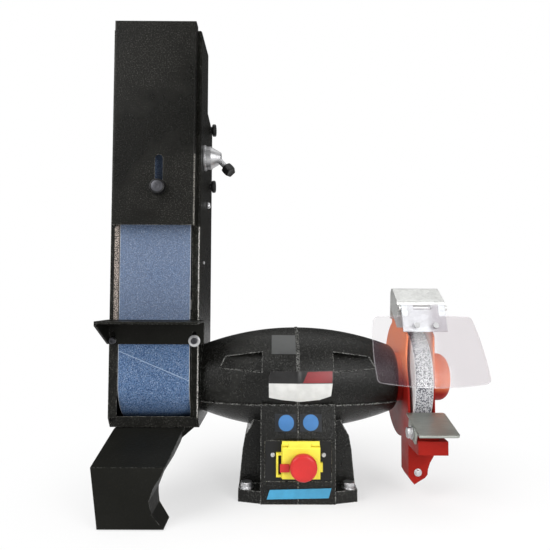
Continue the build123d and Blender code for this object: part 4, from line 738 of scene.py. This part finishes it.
def soften(piece, width):
    """Round the sharp edges with an applied Bevel modifier."""
    bevel = piece.modifiers.new("soft_edges", "BEVEL")
    bevel.width = width * MM
    bevel.segments = 2
    bevel.limit_method = "ANGLE"
    bevel.angle_limit = radians(32)
    apply_all(piece)


def cut(piece, cutter, operation="DIFFERENCE"):
    """Take one shape out of another, or keep what both share, then delete the cutter."""
    boolean = piece.modifiers.new("cut", "BOOLEAN")
    boolean.operation = operation
    boolean.solver = "EXACT"
    boolean.object = cutter
    apply_all(piece)
    bpy.data.objects.remove(cutter)


def blank(add_primitive, name="blank", **size):
    """Add a mesh primitive as the blank of a piece, with its place applied."""
    bpy.ops.object.select_all(action="DESELECT")
    add_primitive(**size)
    piece = bpy.context.object
    piece.name = name
    bpy.ops.object.transform_apply(location=True, rotation=True, scale=False)
    return piece


def turned(name, profile, sides=48):
    """Lathe work about Z: a circle pulled through rings of (radius, height), in millimetres."""
    radius, height = profile[0]
    piece = blank(
        bpy.ops.mesh.primitive_circle_add,
        name,
        vertices=sides,
        radius=radius * MM,
        fill_type="NGON",
        location=(0, 0, height * MM),
    )
    bpy.ops.object.mode_set(mode="EDIT")
    bpy.ops.mesh.select_all(action="SELECT")
    for next_radius, next_height in profile[1:]:
        rise = (next_height - height) * MM
        bpy.ops.mesh.extrude_region_move(TRANSFORM_OT_translate={"value": (0, 0, rise)})
        grow = next_radius / radius
        bpy.ops.transform.resize(value=(grow, grow, 1), center_override=(0, 0, next_height * MM))
        radius, height = next_radius, next_height
    bpy.ops.mesh.select_all(action="SELECT")
    bpy.ops.mesh.normals_make_consistent(inside=False)
    bpy.ops.object.mode_set(mode="OBJECT")
    return piece


def sector(place, count):
    """Number of the sector of a circle about Z, out of so many, that a place lies in."""
    return int((atan2(place.y, place.x) + pi) / (2 * pi) * count)


def pick_faces(piece, test):
    """In edit mode, select the faces whose middle and normal pass a test."""
    bpy.ops.mesh.select_mode(type="FACE")
    bpy.ops.mesh.select_all(action="DESELECT")
    bpy.ops.object.mode_set(mode="OBJECT")
    for face in piece.data.polygons:
        face.select = bool(test(face.center, face.normal))
    bpy.ops.object.mode_set(mode="EDIT")


def stand(piece, place, along=UP):
    """Turn the piece's Z axis along a direction, set it in place and apply both."""
    piece.rotation_euler = Vector(along).to_track_quat("Z", "Y").to_euler()
    piece.location = Vector(place) * MM
    only(piece)
    bpy.ops.object.transform_apply(location=True, rotation=True, scale=True)


def twin(piece, name):
    """A copy with its own mesh."""
    only(piece)
    bpy.ops.object.duplicate(linked=False)
    copy = bpy.context.object
    copy.name = name
    return copy


def joined(name, pieces):
    """Join pieces into one object."""
    bpy.ops.object.select_all(action="DESELECT")
    for piece in pieces:
        piece.select_set(True)
    bpy.context.view_layer.objects.active = pieces[0]
    if len(pieces) > 1:
        bpy.ops.object.join()
    pieces[0].name = name
    return pieces[0]


def hand_over(piece, finish, body, stands_for=()):
    """Give a piece its finish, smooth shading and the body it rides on."""
    only(piece)
    bpy.ops.object.shade_smooth_by_angle(angle=radians(34))
    piece.data.materials.clear()
    piece.data.materials.append(finishes[finish])
    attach(piece, body)
    if stands_for:
        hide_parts(*stands_for)
    print(piece.name, "faces:", len(piece.data.polygons), "on", body)


# %% [markdown]
# Hexagon heads are six-sided bars whose corners were chamfered on a lathe. Cutting them with a cone would
# do it, but the same look comes from an intersection: the hexagon and a turned button share their volume.


# %% Hexagon heads
def hex_head(name, across, height):
    """Hexagon head with lathe-chamfered corners on top, standing on z = 0."""
    corner = across / 2 / cos(radians(30))
    head = blank(
        bpy.ops.mesh.primitive_cylinder_add,
        name,
        vertices=6,
        radius=corner * MM,
        depth=height * MM,
        location=(0, 0, height / 2 * MM),
    )
    button = turned(
        name + "_button",
        [(corner + 1, -1), (corner + 1, height - 1.7), (across / 2 * 0.93, height), (0.5, height + 0.01)],
        64,
    )
    cut(head, button, "INTERSECT")
    soften(head, 0.25)
    return head


def washer(name, outer, inner, thick):
    """Flat washer on z = 0, turned as a closed ring."""
    ring = turned(name, [(outer, 0), (outer, thick)], 48)
    bore = turned(name + "_bore", [(inner, -1), (inner, thick + 1)], 32)
    cut(ring, bore)
    soften(ring, 0.3)
    return ring


# %% [markdown]
# A whole bolt is a head, a washer and a shank with a chamfered end, joined into one piece. It is made
# once and copied to its places. The two at the front feet go through the lugs of the casting.


# %% Foot bolts
def hex_bolt(name, across, height, washer_outer, washer_thick, shank_radius, shank_length):
    """Bolt along Z: its shank hangs below z = 0, then the washer, then the head."""
    flat = washer(name + "_washer", washer_outer, shank_radius, washer_thick)
    head = hex_head(name + "_head", across, height)
    stand(head, (0, 0, washer_thick))
    tip = shank_radius - 0.6
    shank = turned(
        name + "_shank",
        [(tip, -shank_length), (shank_radius, 0.8 - shank_length), (shank_radius, washer_thick + 0.4)],
        32,
    )
    return joined(name, [head, flat, shank])


def rows_of(first, name, places):
    """Stand a piece and its copies at (place, direction) pairs and join them."""
    copies = [first] + [twin(first, name) for _ in places[1:]]
    for copy, (place, along) in zip(copies, places):
        stand(copy, place, along)
    return joined(name, copies)


foot_bolt = hex_bolt(
    "foot_bolt",
    across=15.0,
    height=6.9,
    washer_outer=10.4,
    washer_thick=1.6,
    shank_radius=4.0,
    shank_length=15.5,
)
foot_places = [((foot_x, -60, 16.5), UP) for foot_x in (-71, 71)]
foot_bolt_set = rows_of(foot_bolt, "foot_bolt_set", foot_places)
hand_over(foot_bolt_set, "fastener", "base", ["foot_bolts"])

# %% [markdown]
# The bolts of the spark bracket and the small bolt in the spark spout have the same kind of head, only in
# other sizes, so the helpers make them too.

# %% Bracket and spout bolts
bracket_bolt = hex_bolt(
    "bracket_bolt",
    across=11.0,
    height=3.9,
    washer_outer=7.0,
    washer_thick=0.8,
    shank_radius=3.0,
    shank_length=7.9,
)
bracket_places = [((bolt_x, 10.0, 249.5), UP) for bolt_x in (165.0, 183.0)]
bracket_bolt_set = rows_of(bracket_bolt, "bracket_bolt_set", bracket_places)
hand_over(bracket_bolt_set, "fastener", "base", ["bracket_bolts"])

spout_head = hex_head("spout_head", 7.6, 3.6)
stand(spout_head, (167.0, -62.9, 38.0), FRONT)
spout_flat = washer("spout_washer", 5.4, 1.9, 1.0)
stand(spout_flat, (167.0, -62.0, 38.0), FRONT)
spout_bolt = joined("spout_bolt", [spout_head, spout_flat])
hand_over(spout_bolt, "fastener", "base")

# %% [markdown]
# Pan-head screws with a cross recess hold the sheet parts. One is modelled: a lathe-turned dome, cut by two
# crossed bars. Each row is one such head at its own size, copied with its own mesh to every place.


# %% Pan-head screws
def pan_head(name, radius, height):
    """Domed screw head with a cross recess, standing on z = 0."""
    dome = turned(
        name,
        [
            (0.96 * radius, 0),
            (radius, 0.12 * height),
            (radius, 0.45 * height),
            (0.93 * radius, 0.70 * height),
            (0.74 * radius, 0.90 * height),
            (0.40 * radius, height),
        ],
        40,
    )
    for turn in (radians(20), radians(110)):
        bar = blank(bpy.ops.mesh.primitive_cube_add, size=1)
        bar.scale = (1.15 * radius * MM, 0.26 * radius * MM, 0.9 * height * MM)
        bar.rotation_euler = (0, 0, turn)
        bar.location = (0, 0, height * MM)
        bpy.ops.object.transform_apply(location=True, rotation=True, scale=True)
        cut(dome, bar)
    return dome


shaft_height = 161
screw_circle = 82
circle_spots = [(screw_circle * cos(radians(a)), screw_circle * sin(radians(a))) for a in (75, 0, -75)]
screw_rows = {
    "switch_screw": ("base", [((screw_x, -77.45, 66.5), FRONT) for screw_x in (-34.6, 34.6)], 3.0, 2.2),
    "cover_screw": ("base", [((193.45, y, shaft_height + z), RIGHT) for y, z in circle_spots], 3.9, 2.8),
    "side_screw": ("arm", [((-264.95, 60, screw_z), LEFT) for screw_z in (180, 400)], 5.2, 4.05),
    "plate_screw": ("arm", [((-138.85, 12, 423), RIGHT)], 4.7, 6.0),
    "flank_screw": ("arm", [((-138.85, -22, 331), RIGHT)], 2.4, 2.2),
}
for label, (body, places, radius, height) in screw_rows.items():
    screws = rows_of(pan_head(label, radius, height), label + "_heads", places)
    hand_over(screws, "fastener", body)

# %% [markdown]
# The two screws of the work rest are dark socket screws on bright washers, the right one wide. The screw is
# one lathe profile from the thread end to the head, and its hexagon socket is cut with a six-sided bar. It is
# made once and copied; the washers differ, so each is turned by itself.

# %% Work rest screws
screw = turned(
    "rest_screw",
    [
        (2.6, 0), (3.0, 0.5), (3.0, 3.0), (4.5, 3.01), (4.5, 6.2), (3.0, 6.21), (3.0, 11.2), (4.3, 11.21),
        (4.4, 11.5), (4.4, 15.2), (3.9, 15.8), (3.0, 15.81),
    ],
    48,
)
key_hole = blank(
    bpy.ops.mesh.primitive_cylinder_add,
    vertices=6,
    radius=2.7 * MM,
    depth=6 * MM,
    location=(0, 0, 15.8 * MM),
)
cut(screw, key_hole)
rest_screws = ((-257.5, 4.5), (-144.3, 8.3))
thread_end_y = -57.0
screw_z = 219.0
rest_washers = []
for screw_x, washer_radius in rest_screws:
    flat = washer("rest_washer", washer_radius, inner=3.05, thick=1.45)
    stand(flat, (screw_x, thread_end_y - 9.8, screw_z), FRONT)
    rest_washers.append(flat)
rest_places = [((screw_x, thread_end_y, screw_z), FRONT) for screw_x, _ in rest_screws]
rest_screw_set = rows_of(screw, "rest_screw_set", rest_places)
hand_over(rest_screw_set, "knob_disc", "arm", ["work_rest_bolts"])
rest_washer_set = joined("rest_washer_set", rest_washers)
hand_over(rest_washer_set, "fastener", "arm")

# %% [markdown]
# The clamp knob of the front cover is a black knob with a knurled rim and a metal face. The knurl is made
# by picking every other face of the rim and pushing it in, which reads as grip ribs at this size.

# %% Cover knob
knob_sides = 64
knob = turned(
    "cover_knob_rim",
    [(9.6, 0.3), (10.4, 0.8), (10.6, 2.0), (10.6, 9.4), (10.0, 10.9), (8.9, 11.6), (8.3, 11.6), (8.2, 10.9)],
    knob_sides,
)


def knurl_face(middle, normal):
    """Every other upright face of the knob's rim."""
    upright = 0.002 < middle.z < 0.0094 and abs(normal.z) < 0.2
    return upright and sector(middle, knob_sides) % 2 == 0


only(knob)
bpy.ops.object.mode_set(mode="EDIT")
pick_faces(knob, knurl_face)
bpy.ops.mesh.inset(thickness=0.00012, depth=0.0, use_individual=True)
bpy.ops.transform.resize(value=(0.955, 0.955, 1), center_override=(0, 0, 0.006))
bpy.ops.object.mode_set(mode="OBJECT")
knob_place = (-194.5, -79.0, 431.5)
stand(knob, knob_place, FRONT)
hand_over(knob, "black_plastic", "cover_knob", ["cover_knob"])

knob_face = turned("cover_knob_face", [(8.1, 10.7), (8.1, 11.2), (7.4, 11.55), (2.6, 11.62), (2.2, 11.3)], 48)
stand(knob_face, knob_place, FRONT)
hand_over(knob_face, "knob_disc", "cover_knob")

# %% [markdown]
# The tension lever ends in a black knob with five lobes. It starts as a ten-sided bar; every other corner is
# pushed in, and a Subdivision Surface turns the star into soft lobes.

# %% Lever knob
hub_place = Vector((-119.5, -24.0, 488.0))
lever_way = Vector((0.62, -0.35, -0.7)).normalized()
lever_length = 22
corners = 10
knob_middle = (0, 0, 0.0072)
lobes = blank(
    bpy.ops.mesh.primitive_cylinder_add,
    "lever_lobes",
    vertices=corners,
    radius=10.6 * MM,
    depth=13.6 * MM,
    location=knob_middle,
)
bpy.ops.object.mode_set(mode="EDIT")
bpy.ops.mesh.select_mode(type="VERT")
bpy.ops.mesh.select_all(action="DESELECT")
bpy.ops.object.mode_set(mode="OBJECT")
for vertex in lobes.data.vertices:
    ring_place = (atan2(vertex.co.x, vertex.co.y) / (2 * pi) * corners) % 2
    vertex.select = 0.5 < ring_place < 1.5
bpy.ops.object.mode_set(mode="EDIT")
bpy.ops.transform.resize(value=(0.66, 0.66, 1), center_override=knob_middle)
pick_faces(lobes, lambda middle, normal: abs(normal.z) > 0.9)
bpy.ops.mesh.inset(thickness=0.0016, depth=0.0)
bpy.ops.mesh.inset(thickness=0.0022, depth=-0.0008)
bpy.ops.object.mode_set(mode="OBJECT")
smooth_lobes = lobes.modifiers.new("soft_lobes", "SUBSURF")
smooth_lobes.levels = 3
smooth_lobes.render_levels = 3
apply_all(lobes)
stand(lobes, hub_place + lever_length * lever_way, lever_way)
hand_over(lobes, "black_plastic", "lever", ["lever_knob"])

# %% [markdown]
# The emergency button is one moulding: a shallow mushroom on a round stem. It is lathe work too, so the
# profile is written once, from the stem's foot to the soft crown.

# %% Mushroom button
mushroom = turned(
    "mushroom_cap",
    [
        (7.0, 0.0), (7.0, 11.0), (15.8, 11.2), (17.3, 11.6), (18.0, 12.6), (18.0, 17.2), (17.6, 18.6),
        (16.6, 19.8), (14.8, 20.6), (11.0, 21.0), (5.0, 21.15),
    ],
    96,
)
stand(mushroom, (5.9, -87.3, 56.9), FRONT)
hand_over(mushroom, "red_plastic", "mushroom", ["mushroom_button"])

# %% [markdown]
# The cable gland at the back is a nut with a flange and grip ribs. It is lathe work, the faces between the
# ribs are pushed in, and its bore is cut through, so that it stays open like the CAD piece.

# %% Cable gland
gland_sides = 48
gland = turned(
    "gland_nut",
    [
        (11.4, 0.0), (12.0, 0.6), (12.0, 2.4), (11.4, 3.0), (9.5, 3.1), (9.5, 11.6), (9.0, 12.6), (7.6, 15.2),
        (7.2, 15.9),
    ],
    gland_sides,
)


def between_ribs(middle, normal):
    """Three of every four upright faces of the nut; the fourth stays as a rib."""
    upright = 0.0035 < middle.z < 0.011 and abs(normal.z) < 0.2
    return upright and sector(middle, gland_sides) % 4 != 0


only(gland)
bpy.ops.object.mode_set(mode="EDIT")
pick_faces(gland, between_ribs)
bpy.ops.mesh.inset(thickness=0.0003, depth=0.0)
bpy.ops.transform.resize(value=(0.94, 0.94, 1), center_override=(0, 0, 0.0075))
bpy.ops.object.mode_set(mode="OBJECT")
gland_bore = turned("gland_bore", [(4.5, -1.0), (4.5, 18.0)], 32)
cut(gland, gland_bore)
stand(gland, (0, 78.05, 40), BACK)
hand_over(gland, "black_plastic", "base", ["cable_gland"])

# %% [markdown]
# Plates and stickers lie on the curved casting. A grid is trimmed to the outline with one bisect per side,
# dropped onto the casting along Y with a Shrinkwrap for each half, smoothed across the joint bead and given
# its thickness. Modelled flat, they would cut into the barrel or float off it.


# %% Films on the casting
def film(name, outline, lift, thick, finish, steps):
    """Trim a grid to a clockwise (x, z) outline in millimetres and lay it on the casting."""
    margin = 1
    start_y = -140.0
    off_joint = 0.00003
    low_x = min(x for x, _ in outline) - margin
    high_x = max(x for x, _ in outline) + margin
    low_z = min(z for _, z in outline) - margin
    high_z = max(z for _, z in outline) + margin
    bpy.ops.object.select_all(action="DESELECT")
    bpy.ops.mesh.primitive_grid_add(
        x_subdivisions=steps[0],
        y_subdivisions=steps[1],
        size=1,
        location=((low_x + high_x) / 2 * MM + off_joint, start_y * MM, (low_z + high_z) / 2 * MM),
        rotation=(pi / 2, 0, 0),
    )
    piece = bpy.context.object
    piece.name = name
    piece.scale = ((high_x - low_x) * MM, (high_z - low_z) * MM, 1)
    bpy.ops.object.transform_apply(location=True, rotation=True, scale=True)
    bpy.ops.object.mode_set(mode="EDIT")
    for first, second in zip(outline, outline[1:] + outline[:1]):
        bpy.ops.mesh.select_all(action="SELECT")
        bpy.ops.mesh.bisect(
            plane_co=(first[0] * MM, start_y * MM, first[1] * MM),
            plane_no=Vector((first[1] - second[1], 0, second[0] - first[0])).normalized(),
            clear_outer=True,
        )
    bpy.ops.object.mode_set(mode="OBJECT")
    for half in ("housing_left", "housing_right"):
        drop = piece.modifiers.new("drop_on_" + half, "SHRINKWRAP")
        drop.target = nodes[half]
        drop.wrap_method = "PROJECT"
        drop.use_project_x = False
        drop.use_project_y = True
        drop.use_project_z = False
        drop.use_positive_direction = True
        drop.use_negative_direction = False
    bridge = piece.modifiers.new("bridge_bead", "SMOOTH")
    bridge.use_x = False
    bridge.use_z = False
    bridge.iterations = 10
    bridge.factor = 0.5
    apply_all(piece)
    bpy.ops.object.mode_set(mode="EDIT")
    bpy.ops.mesh.select_all(action="SELECT")
    bpy.ops.transform.translate(value=(0, -lift * MM, 0))
    bpy.ops.object.mode_set(mode="OBJECT")
    wall = piece.modifiers.new("wall", "SOLIDIFY")
    wall.thickness = thick * MM
    wall.offset = 1.0
    apply_all(piece)
    hand_over(piece, finish, "base")


def ring_of_points(x, z, radius):
    """Clockwise circle of (x, z) points."""
    count = 40
    turns = [-2 * pi * k / count for k in range(count)]
    return [(x + radius * cos(turn), z + radius * sin(turn)) for turn in turns]


def upright_box(low_x, high_x, low_z, high_z):
    """Clockwise rectangle of (x, z) points."""
    return [(low_x, high_z), (high_x, high_z), (high_x, low_z), (low_x, low_z)]


plate_edge = [
    (-37.7, 177.6), (48.9, 179.0), (48.7, 169.7), (45.6, 144.1), (30.0, 139.0), (3.9, 136.4), (-22.0, 138.6),
    (-40.0, 141.8), (-40.4, 169.5),
]
red_edge = [(13.5, 177.4), (47.6, 178.0), (47.4, 169.7), (46.9, 162.6), (6.5, 162.2)]
strip_edge = [(-38.5, 19.8), (45.0, 22.3), (41.4, 9.0), (-42.5, 7.2)]
left_ring = ring_of_points(-16.3, 108.2, 10.7)
right_ring = ring_of_points(17.4, 108.8, 10.7)
sticker_box = upright_box(-36.7, -2.5, 200.5, 225.0)
left_box = upright_box(-32.0, -2.4, 97.0, 120.0)
right_box = upright_box(2.4, 32.4, 97.0, 120.0)
film("nameplate", plate_edge, 0.7, 0.5, "plate_print", (46, 24))
film("nameplate_end", red_edge, 1.25, 0.2, "plate_red", (26, 12))
film("top_sticker", sticker_box, 0.25, 0.3, "film_grey", (20, 16))
film("left_square", left_box, 0.2, 0.3, "film_navy", (12, 12))
film("right_square", right_box, 0.2, 0.3, "film_navy", (12, 12))
film("left_disc", left_ring, 0.52, 0.25, "film_blue", (12, 12))
film("right_disc", right_ring, 0.52, 0.25, "film_blue", (12, 12))
film("base_strip", strip_edge, 0.9, 0.3, "film_sky", (40, 8))
